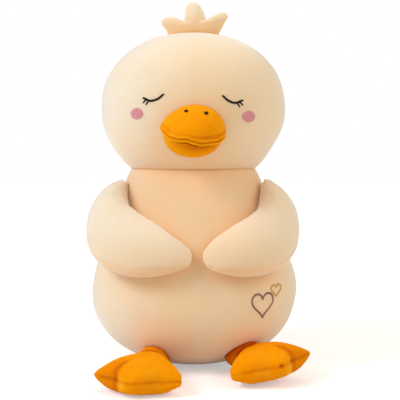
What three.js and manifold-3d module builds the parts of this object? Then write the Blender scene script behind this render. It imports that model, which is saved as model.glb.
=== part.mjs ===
// A sitting plush duck, in millimetres: stuffed cloth covers over separate fillings.
// +X is the duck's left, -Y its front and +Z up.
// The origin is the middle of its flat seat, on the surface that it sits on.
import * as THREE from 'three';
import { mergeVertices } from 'three/addons/utils/BufferGeometryUtils.js';
import Module from 'manifold-3d';

const wasm = await Module();
wasm.setup();

// Cloth and fit
const clothThickness = 2;
const clearance = 0.3;
const standDepth = 0.5;

// Torso, an egg with a flat seat below and a flat neck above
const seatRadius = 36;
const bellyRadius = 143;
const bellyHeight = 99.4;
const neckRadius = 87.5;
const neckHeight = 270;
const shoulderFullnessShare = 1.4;
const seatFullnessShare = 2.2;
const torsoDepthShare = 0.86;

// Head, from the neck up
const headRadius = 130;
const crownRise = 107.5;
const chinDrop = 113;
const crownFullnessShare = 2.2;
const chinFullnessShare = 1.95;
const headDepthShare = 0.86;

// Wings, folded round the front of the torso from a shoulder at each side
const wingTopHeight = 248;
const wingHalfThickness = 26;
const wingAngles = [72, 64.5, 58.5, 51, 39.5, 25.5, 13];
const wingHeightShares = [1, 0.79, 0.56, 0.36, 0.225, 0.14, 0.075, 0.03];
const wingWidthShares = [0.42, 0.72, 0.9, 1, 1, 0.92, 0.7, 0.42];
const wingThicknessShares = [0.42, 0.78, 0.98, 1, 0.95, 0.85, 0.68, 0.45];
const leftWing = { side: 1, tipAngle: 5.5, tipHeight: 151, halfWidth: 37.5 };
const rightWing = { side: -1, tipAngle: 1.5, tipHeight: 153, halfWidth: 40 };
const wingSeatShare = 0.7;
const wingBluntShare = 0.6;
const wingMouthRadius = 17;

// Feet, three toes on a web, and the short legs that carry them
const toeReach = 69;
const footTopRise = 21;
const footSoleDrop = 20;
const footTopShare = 0.74;
const footSoleShare = 0.52;
const toeShares = [0.3, 0.5, 0.7];
const toeTaperShares = [0.75, 0.4, 0.75];
const toeWidthShare = 0.045;
const footOutlineShares = [
  [-0.33, 0],
  [-0.22, -0.27],
  [0.14, -0.5],
  [0.574, -0.819],
  [0.79, -0.4],
  [1, 0],
  [0.79, 0.4],
  [0.574, 0.819],
  [0.14, 0.5],
  [-0.22, 0.27],
];
const legRadius = 23;
const legRootSetback = 63;
const ankleHeight = 21;
const legFloorGap = 11;
const legWaistShare = 0.92;
const legBluntShare = 0.45;
const leftFoot = {
  side: 1, spread: 84.5, advance: 91, turn: 22, pitch: 8, roll: 9, legSpread: 49, legHeight: 30,
};
const rightFoot = {
  side: -1, spread: 57.5, advance: 126, turn: 16, pitch: 1, roll: 0, legSpread: 50, legHeight: 24.5,
};

// Bill, an upper and a lower half that meet at a drooping mouth line
const billRoot = 95;
const mouthHeight = 317.5;
const mouthDroop = 13.5;
const billTurn = 4.2;
const upperBill = { halfWidth: 43, reach: 72, rise: 37.5 };
const lowerBill = { halfWidth: 39, reach: 63, rise: 31 };
const lipRadius = 2.2;
const lipWrapAngle = 25;
const nostrilSpread = 12.6;
const nostrilShift = 2;
const nostrilRise = 30.5;
const nostrilRadius = 3;
const nostrilHalfThickness = 1.3;

// Tuft on the crown, three lobes in one flat pad
const tuftWidth = 93;
const tuftHeight = 42.8;
const tuftHalfThickness = 9.5;
const tuftSink = 1;
const tuftMiddleShare = 0.28;
const tuftBluntShare = 0.85;
const tuftOutlineShares = [
  [0, -0.3],
  [0.3, -0.28],
  [0.42, 0.25],
  [0.485, 0.5],
  [0.46, 0.66],
  [0.34, 0.64],
  [0.165, 0.55],
  [0.09, 0.78],
  [0.03, 1],
  [-0.075, 1],
  [-0.15, 0.72],
  [-0.17, 0.5],
  [-0.4, 0.54],
  [-0.515, 0.34],
  [-0.42, 0.1],
  [-0.3, -0.28],
];

// Embroidered face: closed eyes with two lashes each, and round cheeks
const faceTurn = 1.4;
const faceShift = -1.5;
const faceHeight = 340;
const eyeThreadRadius = 1.6;
const threadSinkShare = 0.3;
const eyeLidLine = [
  { x: 37, z: 366.5 },
  { x: 45, z: 359.5 },
  { x: 54.6, z: 356.7 },
  { x: 64.6, z: 361.3 },
];
const eyeLashes = [
  [{ x: 57, z: 357.2 }, { x: 60.5, z: 352.6 }],
  [{ x: 60.6, z: 358.8 }, { x: 64.6, z: 354.8 }],
];
const cheekSpread = 73.6;
const cheekHeight = 341.1;
const cheekRadius = 8.6;
const cheekHalfThickness = 1.6;

// Two embroidered hearts low on the left of the belly
const heartThreadRadius = 1.3;
const largeHeart = { across: 90, height: 96, size: 29 };
const smallHeart = { across: 109, height: 112, size: 14 };
const heartLobeShares = [1.16, -0.45, -0.18, -0.09];

// How finely the round forms are cut
const torsoSides = 32;
const fillingSides = 16;
const profileSteps = 5;
const wingSides = 14;
const wingRings = 12;
const legSides = 12;
const legRings = 8;
const footSides = 20;
const footRings = 8;
const billSides = 20;
const billRings = 10;
const mouthSteps = 8;
const lipSides = 6;
const lipSteps = 16;
const tuftSides = 32;
const tuftRings = 6;
const threadSides = 6;
const threadSteps = 6;
const heartSteps = 8;
const cheekSides = 16;
const cheekRings = 6;
const nostrilSides = 8;
const nostrilRings = 6;

const colours = {
  creamPlush: 0xf2dab4,
  orangePlush: 0xff9a08,
  fibreFilling: 0xf8f6f0,
  darkThread: 0x241f1e,
  nostrilThread: 0x4a2608,
  pinkThread: 0xe2949c,
  rosewoodThread: 0xa4655c,
  mustardThread: 0xdcae35,
};
const plushRoughness = 0.95;
const threadRoughness = 0.6;

const turn = THREE.MathUtils.degToRad;
const duck = new THREE.Group();

// Turns a closed geometry into a solid that can be joined and cut
function solidOf(geometry) {
  const bare = geometry.clone();
  bare.deleteAttribute('normal');
  bare.deleteAttribute('uv');
  const merged = mergeVertices(bare);
  const triVerts = [];
  for (let i = 0; i < merged.index.count; i += 3) {
    const corners = [0, 1, 2].map((k) => merged.index.getX(i + k));
    if (new Set(corners).size === 3) triVerts.push(...corners);
  }
  const vertProperties = new Float32Array(merged.attributes.position.array);
  return new wasm.Manifold(new wasm.Mesh({
    numProp: 3,
    vertProperties,
    triVerts: new Uint32Array(triVerts),
  }));
}

function geometryOf(solid) {
  const mesh = solid.getMesh();
  const geometry = new THREE.BufferGeometry();
  geometry.setAttribute('position', new THREE.BufferAttribute(mesh.vertProperties, 3));
  geometry.setIndex(new THREE.BufferAttribute(mesh.triVerts, 1));
  geometry.computeVertexNormals();
  return geometry;
}

// Moves every point of a closed geometry by a rule
function reshaped(geometry, move) {
  const bare = geometry.clone();
  bare.deleteAttribute('normal');
  bare.deleteAttribute('uv');
  const merged = mergeVertices(bare);
  const points = merged.attributes.position;
  const point = new THREE.Vector3();
  for (let i = 0; i < points.count; i += 1) {
    point.fromBufferAttribute(points, i);
    const moved = move(point);
    points.setXYZ(i, moved.x, moved.y, moved.z);
  }
  return merged;
}

// Moves a form's skin out, or in where the distance is negative
function grown(geometry, distance) {
  const skin = geometry.clone();
  skin.computeVertexNormals();
  const points = skin.attributes.position;
  const normals = skin.attributes.normal;
  for (let i = 0; i < points.count; i += 1) {
    points.setXYZ(
      i,
      points.getX(i) + normals.getX(i) * distance,
      points.getY(i) + normals.getY(i) * distance,
      points.getZ(i) + normals.getZ(i) * distance,
    );
  }
  return skin;
}

function addPart(name, solid, colour, roughness) {
  const material = new THREE.MeshStandardMaterial({ color: colour, roughness, metalness: 0 });
  const mesh = new THREE.Mesh(geometryOf(solid), material);
  mesh.name = name;
  duck.add(mesh);
}

function addStuffed(name, parts, colour) {
  addPart(`${name}_cover`, parts.cover, colour, plushRoughness);
  addPart(`${name}_filling`, parts.filling, colours.fibreFilling, plushRoughness);
}

// Round forms about the upright axis, from a list of rings
function lathed(rings, sides, depthShare) {
  const geometry = new THREE.LatheGeometry(rings, sides);
  geometry.rotateX(Math.PI / 2);
  geometry.scale(1, depthShare, 1);
  return solidOf(geometry);
}

function grownRings(rings, distance) {
  return rings.map((ring, index) => {
    const before = rings[Math.max(index - 1, 0)];
    const after = rings[Math.min(index + 1, rings.length - 1)];
    const along = after.clone().sub(before).normalize();
    return new THREE.Vector2(ring.x + along.y * distance, ring.y - along.x * distance);
  });
}

const seatAngle = Math.acos((seatRadius / bellyRadius) ** (seatFullnessShare / 2));
const bellyDrop = bellyHeight / Math.sin(seatAngle) ** (2 / seatFullnessShare);

function torsoRadiusAt(height) {
  if (height < bellyHeight) {
    const away = (bellyHeight - height) / bellyDrop;
    return bellyRadius * (1 - away ** seatFullnessShare) ** (1 / seatFullnessShare);
  }
  const rise = (height - bellyHeight) / (neckHeight - bellyHeight);
  const fall = rise ** shoulderFullnessShare;
  return bellyRadius - (bellyRadius - neckRadius) * fall;
}

function torsoRings() {
  const heights = [];
  for (let step = profileSteps; step > 0; step -= 1) {
    const around = (seatAngle * step) / profileSteps;
    heights.push(bellyHeight - bellyDrop * Math.sin(around) ** (2 / seatFullnessShare));
  }
  for (let step = 0; step <= profileSteps; step += 1) {
    heights.push(bellyHeight + ((neckHeight - bellyHeight) * step) / profileSteps);
  }
  return heights.map((height) => new THREE.Vector2(torsoRadiusAt(height), height));
}

function torsoForm(growth, bottom, top, sides) {
  const rings = grownRings(torsoRings(), growth);
  rings[0].y = bottom;
  rings[rings.length - 1].y = top;
  const profile = [new THREE.Vector2(0, bottom), ...rings, new THREE.Vector2(0, top)];
  return lathed(profile, sides, torsoDepthShare);
}

const chinRise = (1 - (neckRadius / headRadius) ** chinFullnessShare) ** (1 / chinFullnessShare);
const headMiddle = neckHeight + chinDrop * chinRise;

function headRadiusAt(height) {
  const above = height > headMiddle;
  const reach = above ? crownRise : chinDrop;
  const fullness = above ? crownFullnessShare : chinFullnessShare;
  const away = Math.min(Math.abs(height - headMiddle) / reach, 1);
  return headRadius * (1 - away ** fullness) ** (1 / fullness);
}

function headRings() {
  const neckTurn = Math.asin(chinRise ** (chinFullnessShare / 2));
  const rings = [];
  for (let step = profileSteps; step > 0; step -= 1) {
    const around = (neckTurn * step) / profileSteps;
    rings.push(new THREE.Vector2(
      headRadius * Math.cos(around) ** (2 / chinFullnessShare),
      headMiddle - chinDrop * Math.sin(around) ** (2 / chinFullnessShare),
    ));
  }
  for (let step = 0; step < profileSteps; step += 1) {
    const around = ((Math.PI / 2) * step) / profileSteps;
    rings.push(new THREE.Vector2(
      headRadius * Math.cos(around) ** (2 / crownFullnessShare),
      headMiddle + crownRise * Math.sin(around) ** (2 / crownFullnessShare),
    ));
  }
  rings.push(new THREE.Vector2(0, headMiddle + crownRise));
  return rings;
}

function headForm(growth, bottom, sides) {
  const rings = grownRings(headRings(), growth);
  rings[0].y = bottom;
  rings[rings.length - 1].x = 0;
  return lathed([new THREE.Vector2(0, bottom), ...rings], sides, headDepthShare);
}

const halfClearance = clearance / 2;
const fillingInset = clothThickness + clearance;
const torsoNeighbour = torsoForm(clearance, -clearance, neckHeight, torsoSides);
const headNeighbour = headForm(clearance, neckHeight, torsoSides);

function stuffedTorso() {
  const top = neckHeight - halfClearance;
  const form = torsoForm(0, 0, top, torsoSides);
  const hollow = torsoForm(-clothThickness, clothThickness, neckHeight, fillingSides);
  return {
    cover: form.subtract(hollow),
    filling: torsoForm(-fillingInset, fillingInset, top, fillingSides),
  };
}

function stuffedHead() {
  const bottom = neckHeight + halfClearance;
  const form = headForm(0, bottom, torsoSides);
  const hollow = headForm(-clothThickness, neckHeight, fillingSides);
  return {
    cover: form.subtract(hollow),
    filling: headForm(-fillingInset, bottom, fillingSides),
  };
}

// Directions and places on the torso and head, for what is sewn to them
function torsoOutward(angle, height) {
  const slope = torsoRadiusAt(height + clearance) - torsoRadiusAt(height);
  return new THREE.Vector3(
    Math.sin(angle),
    -Math.cos(angle) / torsoDepthShare,
    -slope / clearance,
  ).normalize();
}

function torsoPlace(angle, height, proud) {
  const radius = torsoRadiusAt(height);
  return new THREE.Vector3(
    radius * Math.sin(angle),
    -radius * torsoDepthShare * Math.cos(angle),
    height,
  ).addScaledVector(torsoOutward(angle, height), proud);
}

function headPlace(x, height, proud) {
  const radius = headRadiusAt(height);
  const slope = headRadiusAt(height + clearance) - radius;
  const angle = Math.asin(x / radius);
  const outward = new THREE.Vector3(
    Math.sin(angle),
    -Math.cos(angle) / headDepthShare,
    -slope / clearance,
  ).normalize();
  return {
    outward,
    place: new THREE.Vector3(x, -radius * headDepthShare * Math.cos(angle), height)
      .addScaledVector(outward, proud),
  };
}

// A stuffed limb: round sections of changing size along a curved middle line
function limbForm(stations, outwardAt, growth, bluntShare, sides, rings) {
  const middle = new THREE.CatmullRomCurve3(stations.map((station) => station.place));
  const sizes = new THREE.CatmullRomCurve3(
    stations.map((station) => (
      new THREE.Vector3(station.halfThickness + growth, station.halfWidth + growth, 0)
    )),
  );
  return reshaped(new THREE.SphereGeometry(1, sides, rings), (point) => {
    const along = (1 - point.y) / 2;
    const swell = Math.hypot(point.x, point.z) ** bluntShare;
    const around = Math.atan2(point.z, point.x);
    const size = sizes.getPoint(along);
    const place = middle.getPoint(along);
    const forward = middle.getTangent(along);
    const outward = outwardAt(place).addScaledVector(forward, -outwardAt(place).dot(forward));
    outward.normalize();
    const across = forward.clone().cross(outward);
    return place
      .addScaledVector(forward, -point.y * growth)
      .addScaledVector(outward, size.x * swell * Math.cos(around))
      .addScaledVector(across, size.y * swell * Math.sin(around));
  });
}

// A flat stuffed pad about its own outline, rising along +Z
function padForm(outline, top, bottom, taperAt, sides, rings) {
  return reshaped(new THREE.SphereGeometry(1, sides, rings), (point) => {
    const share = (Math.atan2(point.x, point.z) / (2 * Math.PI) + 1) % 1;
    const edge = outline.getPoint(share);
    const half = point.y > 0 ? top : bottom;
    const reach = Math.hypot(point.x, point.z) ** half.bluntShare;
    const height = half.rise * Math.abs(point.y) ** half.bluntShare * taperAt(share, reach);
    return new THREE.Vector3(edge.x * reach, edge.y * reach, height);
  });
}

function wingStations(wing) {
  return [...wingAngles, wing.tipAngle].map((angle, index) => {
    const height = THREE.MathUtils.lerp(wing.tipHeight, wingTopHeight, wingHeightShares[index]);
    const halfThickness = wingHalfThickness * wingThicknessShares[index];
    const around = wing.side * turn(angle);
    return {
      seat: torsoPlace(around, height, 0),
      place: torsoPlace(around, height, halfThickness * wingSeatShare),
      halfThickness,
      halfWidth: wing.halfWidth * wingWidthShares[index],
    };
  });
}

function awayFromTorso(place) {
  const angle = Math.atan2(place.x, -place.y / torsoDepthShare);
  return torsoOutward(angle, place.z);
}

// The wing is closed against the torso but for a mouth at the shoulder, where it is sewn on
function stuffedWing(wing) {
  const stations = wingStations(wing);
  const form = (growth) => solidOf(
    limbForm(stations, awayFromTorso, growth, wingBluntShare, wingSides, wingRings),
  );
  const wallNeighbour = torsoForm(clearance + clothThickness, -clearance, neckHeight, torsoSides);
  const fillingNeighbour = torsoForm(clearance + fillingInset, -clearance, neckHeight, torsoSides);
  const mouth = new THREE.SphereGeometry(wingMouthRadius, wingSides, wingRings);
  const { seat } = stations[1];
  mouth.translate(seat.x, seat.y, seat.z);
  const hollow = form(-clothThickness);
  return {
    cover: form(0)
      .subtract(torsoNeighbour)
      .subtract(hollow.subtract(wallNeighbour))
      .subtract(hollow.intersect(solidOf(mouth))),
    filling: form(-fillingInset).subtract(fillingNeighbour),
  };
}

// The sole and the top draw together towards the tip of each toe
function toeTaperAt(share, reach) {
  return toeShares.reduce((left, toe, index) => {
    const near = Math.exp(-(((share - toe) / toeWidthShare) ** 2));
    return left * (1 - toeTaperShares[index] * near * reach ** 2);
  }, 1);
}

function footForm(foot) {
  const points = footOutlineShares.map(([ahead, aside]) => (
    new THREE.Vector3(aside * toeReach, -ahead * toeReach, 0)
  ));
  const outline = new THREE.CatmullRomCurve3(points, true);
  const top = { rise: footTopRise, bluntShare: footTopShare };
  const sole = { rise: -footSoleDrop, bluntShare: footSoleShare };
  const form = padForm(outline, top, sole, toeTaperAt, footSides, footRings);
  form.rotateX(-turn(foot.pitch));
  form.rotateY(-foot.side * turn(foot.roll));
  form.rotateZ(foot.side * turn(foot.turn));
  form.computeBoundingBox();
  const drop = -form.boundingBox.min.z - standDepth;
  form.translate(foot.side * foot.spread, -foot.advance, drop);
  return form;
}

function legForm(foot, growth) {
  const root = new THREE.Vector3(foot.side * foot.legSpread, -legRootSetback, foot.legHeight);
  const end = new THREE.Vector3(foot.side * foot.spread, -foot.advance, ankleHeight);
  const middle = root.clone().lerp(end, 1 / 2);
  const sizes = [legRadius, legRadius * legWaistShare, legRadius];
  const stations = [root, middle, end].map((place, index) => (
    { place, halfThickness: sizes[index], halfWidth: sizes[index] }
  ));
  const upward = () => new THREE.Vector3(0, 0, 1);
  return solidOf(limbForm(stations, upward, growth, legBluntShare, legSides, legRings));
}

// Everything below a level, wide enough to trim what stands on the floor
function belowLevel(level) {
  const width = 4 * bellyRadius;
  const box = new THREE.BoxGeometry(width, width, width);
  box.translate(0, 0, level - width / 2);
  return solidOf(box);
}

function stuffedFoot(foot) {
  const form = footForm(foot);
  const legHollow = legForm(foot, -clothThickness);
  const hollow = solidOf(grown(form, -clothThickness)).subtract(belowLevel(clothThickness));
  return {
    cover: solidOf(form)
      .subtract(belowLevel(0))
      .subtract(torsoNeighbour)
      .subtract(hollow)
      .subtract(legHollow),
    filling: solidOf(grown(form, -fillingInset))
      .subtract(belowLevel(fillingInset))
      .subtract(torsoNeighbour),
  };
}

function stuffedLeg(foot) {
  const footNeighbour = solidOf(grown(footForm(foot), clearance));
  const trimmed = (solid) => (
    solid.subtract(torsoNeighbour).subtract(footNeighbour).subtract(belowLevel(legFloorGap))
  );
  return {
    cover: trimmed(legForm(foot, 0).subtract(legForm(foot, -clothThickness))),
    filling: trimmed(legForm(foot, -fillingInset)),
  };
}

// Bill: each half is an egg-shaped form that droops forward, cut along the mouth line
function mouthDroopAt(advance, half) {
  return mouthDroop * Math.max(advance / half.reach, 0) ** 2;
}

function billForm(half) {
  return reshaped(new THREE.SphereGeometry(1, billSides, billRings), (point) => {
    const advance = point.z * half.reach;
    return new THREE.Vector3(
      point.x * half.halfWidth,
      -billRoot - advance,
      point.y * half.rise - mouthDroopAt(advance, half),
    );
  });
}

// The space on one side of the mouth line, up to beyond the bill
function mouthSide(half, side, level) {
  const depth = 2 * half.reach;
  const outline = new THREE.Shape();
  outline.moveTo(-depth, level);
  for (let step = 0; step <= mouthSteps; step += 1) {
    const advance = (depth * step) / mouthSteps;
    outline.lineTo(advance, level - mouthDroopAt(advance, half));
  }
  const far = side * (depth + 4 * mouthDroop);
  outline.lineTo(depth, far);
  outline.lineTo(-depth, far);
  const slab = new THREE.ExtrudeGeometry(outline, { depth: 2 * depth, bevelEnabled: false });
  slab.translate(0, 0, -depth);
  return solidOf(reshaped(slab, (point) => new THREE.Vector3(-point.z, -billRoot - point.x, point.y)));
}

function lipRidge(half, side) {
  const points = [];
  const wrap = turn(lipWrapAngle);
  for (let step = 0; step <= lipSteps; step += 1) {
    const around = THREE.MathUtils.lerp(-wrap, Math.PI + wrap, step / lipSteps);
    const advance = half.reach * Math.sin(around);
    points.push(new THREE.Vector3(
      half.halfWidth * Math.cos(around),
      -billRoot - advance,
      side * (lipRadius + halfClearance) - mouthDroopAt(advance, half),
    ));
  }
  return tubeAlong(points, lipRadius, lipSides, lipSteps);
}

function tubeAlong(points, radius, sides, steps) {
  const section = new THREE.Shape();
  section.absarc(0, 0, radius, 0, 2 * Math.PI);
  const extrudePath = new THREE.CatmullRomCurve3(points);
  return solidOf(new THREE.ExtrudeGeometry(section, {
    extrudePath,
    steps,
    curveSegments: sides / 2,
    bevelEnabled: false,
  }));
}

function placedOnFace(solid) {
  return solid.rotate(0, billTurn, 0).translate(faceShift, 0, mouthHeight);
}

function stuffedBill(half, side) {
  const form = billForm(half);
  const cut = (solid, inset) => (
    solid.subtract(mouthSide(half, -side, side * (halfClearance + inset)))
  );
  const hollow = cut(solidOf(grown(form, -clothThickness)), clothThickness);
  const shell = cut(solidOf(form), 0).subtract(hollow).add(lipRidge(half, side));
  const core = cut(solidOf(grown(form, -fillingInset)), fillingInset);
  return {
    cover: placedOnFace(shell.subtract(hollow)).subtract(headNeighbour),
    filling: placedOnFace(core).subtract(headNeighbour),
  };
}

// A small embroidered patch that hugs the form below it
function patch(radius, halfThickness, place, outward, sides, rings, neighbour) {
  const lens = new THREE.SphereGeometry(radius, sides, rings);
  lens.scale(1, halfThickness / radius, 1);
  const upright = new THREE.Vector3(0, 1, 0);
  lens.applyQuaternion(new THREE.Quaternion().setFromUnitVectors(upright, outward));
  lens.translate(place.x, place.y, place.z);
  return solidOf(lens).subtract(neighbour);
}

function nostril(side) {
  const half = upperBill;
  const across = side * nostrilSpread + nostrilShift;
  const riseShare = nostrilRise / half.rise;
  const acrossShare = across / half.halfWidth;
  const advance = half.reach * Math.sqrt(1 - riseShare ** 2 - acrossShare ** 2);
  const place = new THREE.Vector3(
    across,
    -billRoot - advance,
    nostrilRise - mouthDroopAt(advance, half),
  );
  const outward = new THREE.Vector3(
    across / half.halfWidth ** 2,
    -advance / half.reach ** 2,
    nostrilRise / half.rise ** 2,
  ).normalize();
  const neighbour = solidOf(grown(billForm(half), clearance));
  return placedOnFace(patch(
    nostrilRadius, nostrilHalfThickness, place, outward, nostrilSides, nostrilRings, neighbour,
  ));
}

// Face: places are given for a level face, which is then turned a little
function facePlace(x, height, proud) {
  const lift = height - faceHeight;
  const tilt = turn(faceTurn);
  return headPlace(
    faceShift + x * Math.cos(tilt) + lift * Math.sin(tilt),
    faceHeight + lift * Math.cos(tilt) - x * Math.sin(tilt),
    proud,
  );
}

function eye(side) {
  const proud = eyeThreadRadius * threadSinkShare;
  const line = (places) => tubeAlong(
    places.map(({ x, z }) => facePlace(side * x, z, proud).place),
    eyeThreadRadius,
    threadSides,
    threadSteps,
  );
  const lashes = eyeLashes.map(([inner, outer]) => line([inner, outer]));
  return lashes
    .reduce((whole, lash) => whole.add(lash), line(eyeLidLine))
    .subtract(headNeighbour);
}

function cheek(side) {
  const { place, outward } = facePlace(side * cheekSpread, cheekHeight, 0);
  return patch(
    cheekRadius, cheekHalfThickness, place, outward, cheekSides, cheekRings, headNeighbour,
  );
}

// Tuft: the pad stands upright on the crown, cut by the head
function stuffedTuft() {
  const middle = tuftHeight * tuftMiddleShare;
  const points = tuftOutlineShares.map(([across, up]) => (
    new THREE.Vector3(across * tuftWidth, up * tuftHeight - middle, 0)
  ));
  const outline = new THREE.CatmullRomCurve3(points, true);
  const front = { rise: tuftHalfThickness, bluntShare: tuftBluntShare };
  const back = { rise: -tuftHalfThickness, bluntShare: tuftBluntShare };
  const form = padForm(outline, front, back, () => 1, tuftSides, tuftRings);
  form.rotateX(Math.PI / 2);
  form.translate(0, 0, headMiddle + crownRise - tuftSink + middle);
  const hollow = solidOf(grown(form, -clothThickness));
  return {
    cover: solidOf(form).subtract(hollow).subtract(headNeighbour),
    filling: solidOf(grown(form, -fillingInset)).subtract(headNeighbour),
  };
}

// A heart drawn in thread: two mirrored halves that meet at its notch and its point
function heart(mark) {
  const [first, second, third, fourth] = heartLobeShares;
  const proud = heartThreadRadius * threadSinkShare;
  const halves = [1, -1].map((side) => {
    const points = [];
    for (let step = 0; step <= heartSteps; step += 1) {
      const t = (Math.PI * step) / heartSteps;
      const across = (side * mark.size * Math.sin(t) ** 3) / 2;
      const wave = first * Math.cos(t) + second * Math.cos(2 * t)
        + third * Math.cos(3 * t) + fourth * Math.cos(4 * t);
      const height = mark.height + (mark.size * wave) / (2 * first);
      const angle = Math.asin((mark.across + across) / torsoRadiusAt(height));
      points.push(torsoPlace(angle, height, proud));
    }
    return tubeAlong(points, heartThreadRadius, threadSides, heartSteps);
  });
  return halves[0].add(halves[1]).subtract(torsoNeighbour);
}

addStuffed('body', stuffedTorso(), colours.creamPlush);
addStuffed('head', stuffedHead(), colours.creamPlush);
addStuffed('tuft', stuffedTuft(), colours.creamPlush);
addStuffed('left_wing', stuffedWing(leftWing), colours.creamPlush);
addStuffed('right_wing', stuffedWing(rightWing), colours.creamPlush);
addStuffed('upper_bill', stuffedBill(upperBill, 1), colours.orangePlush);
addStuffed('lower_bill', stuffedBill(lowerBill, -1), colours.orangePlush);
for (const [name, foot] of [['left', leftFoot], ['right', rightFoot]]) {
  addStuffed(`${name}_leg`, stuffedLeg(foot), colours.orangePlush);
  addStuffed(`${name}_foot`, stuffedFoot(foot), colours.orangePlush);
}
for (const [name, side] of [['left', 1], ['right', -1]]) {
  addPart(`${name}_eye`, eye(side), colours.darkThread, threadRoughness);
  addPart(`${name}_cheek`, cheek(side), colours.pinkThread, threadRoughness);
  addPart(`${name}_nostril`, nostril(side), colours.nostrilThread, threadRoughness);
}
addPart('belly_heart_large', heart(largeHeart), colours.rosewoodThread, threadRoughness);
addPart('belly_heart_small', heart(smallHeart), colours.mustardThread, threadRoughness);

export default duck;
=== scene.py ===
# A sitting plush duck in short-pile plush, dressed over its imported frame.
# Metres, +Z up, the duck looks along -Y and its own left is +X.
import math
import random

import bmesh
import bpy
from mathutils import Matrix, Vector, noise
from mathutils.bvhtree import BVHTree
from mathutils.kdtree import KDTree


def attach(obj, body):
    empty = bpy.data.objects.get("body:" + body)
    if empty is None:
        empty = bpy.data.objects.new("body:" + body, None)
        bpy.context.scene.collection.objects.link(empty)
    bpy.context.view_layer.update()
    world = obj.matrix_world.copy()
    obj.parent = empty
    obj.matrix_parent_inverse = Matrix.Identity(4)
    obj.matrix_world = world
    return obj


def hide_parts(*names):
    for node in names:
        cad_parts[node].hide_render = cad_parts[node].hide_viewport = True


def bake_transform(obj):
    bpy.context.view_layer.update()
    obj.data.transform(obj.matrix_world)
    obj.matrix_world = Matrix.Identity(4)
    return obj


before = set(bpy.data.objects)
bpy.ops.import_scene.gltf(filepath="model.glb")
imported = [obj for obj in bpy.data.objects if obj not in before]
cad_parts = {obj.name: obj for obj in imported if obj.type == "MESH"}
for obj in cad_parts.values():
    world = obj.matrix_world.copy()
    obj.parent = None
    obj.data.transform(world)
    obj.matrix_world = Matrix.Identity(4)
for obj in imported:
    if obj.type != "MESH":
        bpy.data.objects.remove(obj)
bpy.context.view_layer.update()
print("frame loaded")

mm = 0.001
origin, xAxis, yAxis, zAxis = Vector((0, 0, 0)), Vector((1, 0, 0)), Vector((0, 1, 0)), Vector((0, 0, 1))
stitchRandom = random.Random(11)


# Small helpers for curves and numbers

def mix(a, b, share):
    return a + (b - a) * share


def smooth(share):
    share = min(max(share, 0), 1)
    return share * share * (3 - 2 * share)


def ease(value, start, reach):
    # 0 until the start, softly up to 1 at the reach past it; a reach below 0 runs the other way
    return smooth((value - start) / reach)


def hill(distance, width):
    # 1 on the line, falling off softly over the width
    return math.exp(-(distance / width) ** 2)


def fade(distance, reach, most=1):
    # The most at the surface, falling off with the distance from it
    return most * math.exp(-distance / reach)


def curveAt(points, share, closed=False):
    # A centripetal Catmull-Rom curve through the points
    count = len(points)
    place = share * (count if closed else count - 1)
    index = min(int(place), count - (1 if closed else 2))
    part = place - index
    if closed:
        p0, p1, p2, p3 = (points[(index + k) % count] for k in (-1, 0, 1, 2))
    else:
        p1, p2 = points[index], points[index + 1]
        p0 = points[index - 1] if index > 0 else p1 * 2 - p2
        p3 = points[index + 2] if index + 2 < count else p2 * 2 - p1
    d0, d1, d2 = (max((b - a).length, 1e-6) ** 0.5 for a, b in ((p0, p1), (p1, p2), (p2, p3)))
    t1 = ((p1 - p0) / d0 - (p2 - p0) / (d0 + d1) + (p2 - p1) / d1) * d1
    t2 = ((p2 - p1) / d1 - (p3 - p1) / (d1 + d2) + (p3 - p2) / d2) * d1
    bend = (p2 - p1) * 3 - t1 * 2 - t2
    twist = (p1 - p2) * 2 + t1 + t2
    return p1 + t1 * part + bend * part ** 2 + twist * part ** 3


def curveAlong(points, share):
    step = 0.002
    ahead = curveAt(points, min(share + step, 1))
    behind = curveAt(points, max(share - step, 0))
    return (ahead - behind).normalized()


# Materials: effects shared by several of them are node groups

white = (1, 1, 1, 1)
pile = {
    "stretch": (1, 1, 0.4), "patchDetail": 2, "patchRoughness": 0.6, "patchRamp": (0.42, 0.7),
    "clumpShare": 0.2, "clumpRamp": (0.3, 0.6), "clumpLift": 0.12, "fibreGap": (0.55, 0.3),
    "fibreGapDepth": 0.08, "clumpGap": (0.5, 0.3), "clumpGapDepth": 0.03, "fibreHeight": 0.8,
    "clumpHeight": 0.25, "roughness": 0.82, "roughnessSpread": 0.12,
    "fibres": 1100, "contrast": 0.16, "relief": 0.35, "reliefDepth": 0.4 * mm,
}
thread = {"toneScale": 1100, "toneRamp": (0.35, 0.7), "twistScale": 900, "twistDistortion": 0.6,
          "relief": 0.25, "reliefDepth": 0.15 * mm}


def feed(tree, node, values):
    # Each input takes a plain value or what another node puts out
    for key, value in values.items():
        if isinstance(value, bpy.types.NodeSocket):
            tree.links.new(value, node.inputs[key])
        else:
            node.inputs[key].default_value = value


def addNode(tree, kind, inputs=None, **settings):
    node = tree.nodes.new(kind)
    for key, value in settings.items():
        setattr(node, key, value)
    feed(tree, node, inputs or {})
    return node


def addMath(tree, operation, *values, clamp=False):
    inputs = dict(enumerate(values))
    return addNode(tree, "ShaderNodeMath", inputs, operation=operation, use_clamp=clamp).outputs[0]


def addScaled(tree, value, times, plus=0):
    return addMath(tree, "MULTIPLY_ADD", value, times, plus)


def addMix(tree, share, first, second):
    inputs = {0: share, 6: first, 7: second}
    return addNode(tree, "ShaderNodeMix", inputs, data_type="RGBA").outputs[2]


def addNoise(tree, vector, scale, detail, roughness=0.5):
    inputs = {"Vector": vector, "Scale": scale, "Detail": detail, "Roughness": roughness}
    return addNode(tree, "ShaderNodeTexNoise", inputs).outputs["Fac"]


def addRamp(tree, value, low, high):
    inputs = {"Value": value, "From Min": low, "From Max": high}
    return addNode(tree, "ShaderNodeMapRange", inputs, interpolation_type="SMOOTHSTEP").outputs["Result"]


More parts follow.
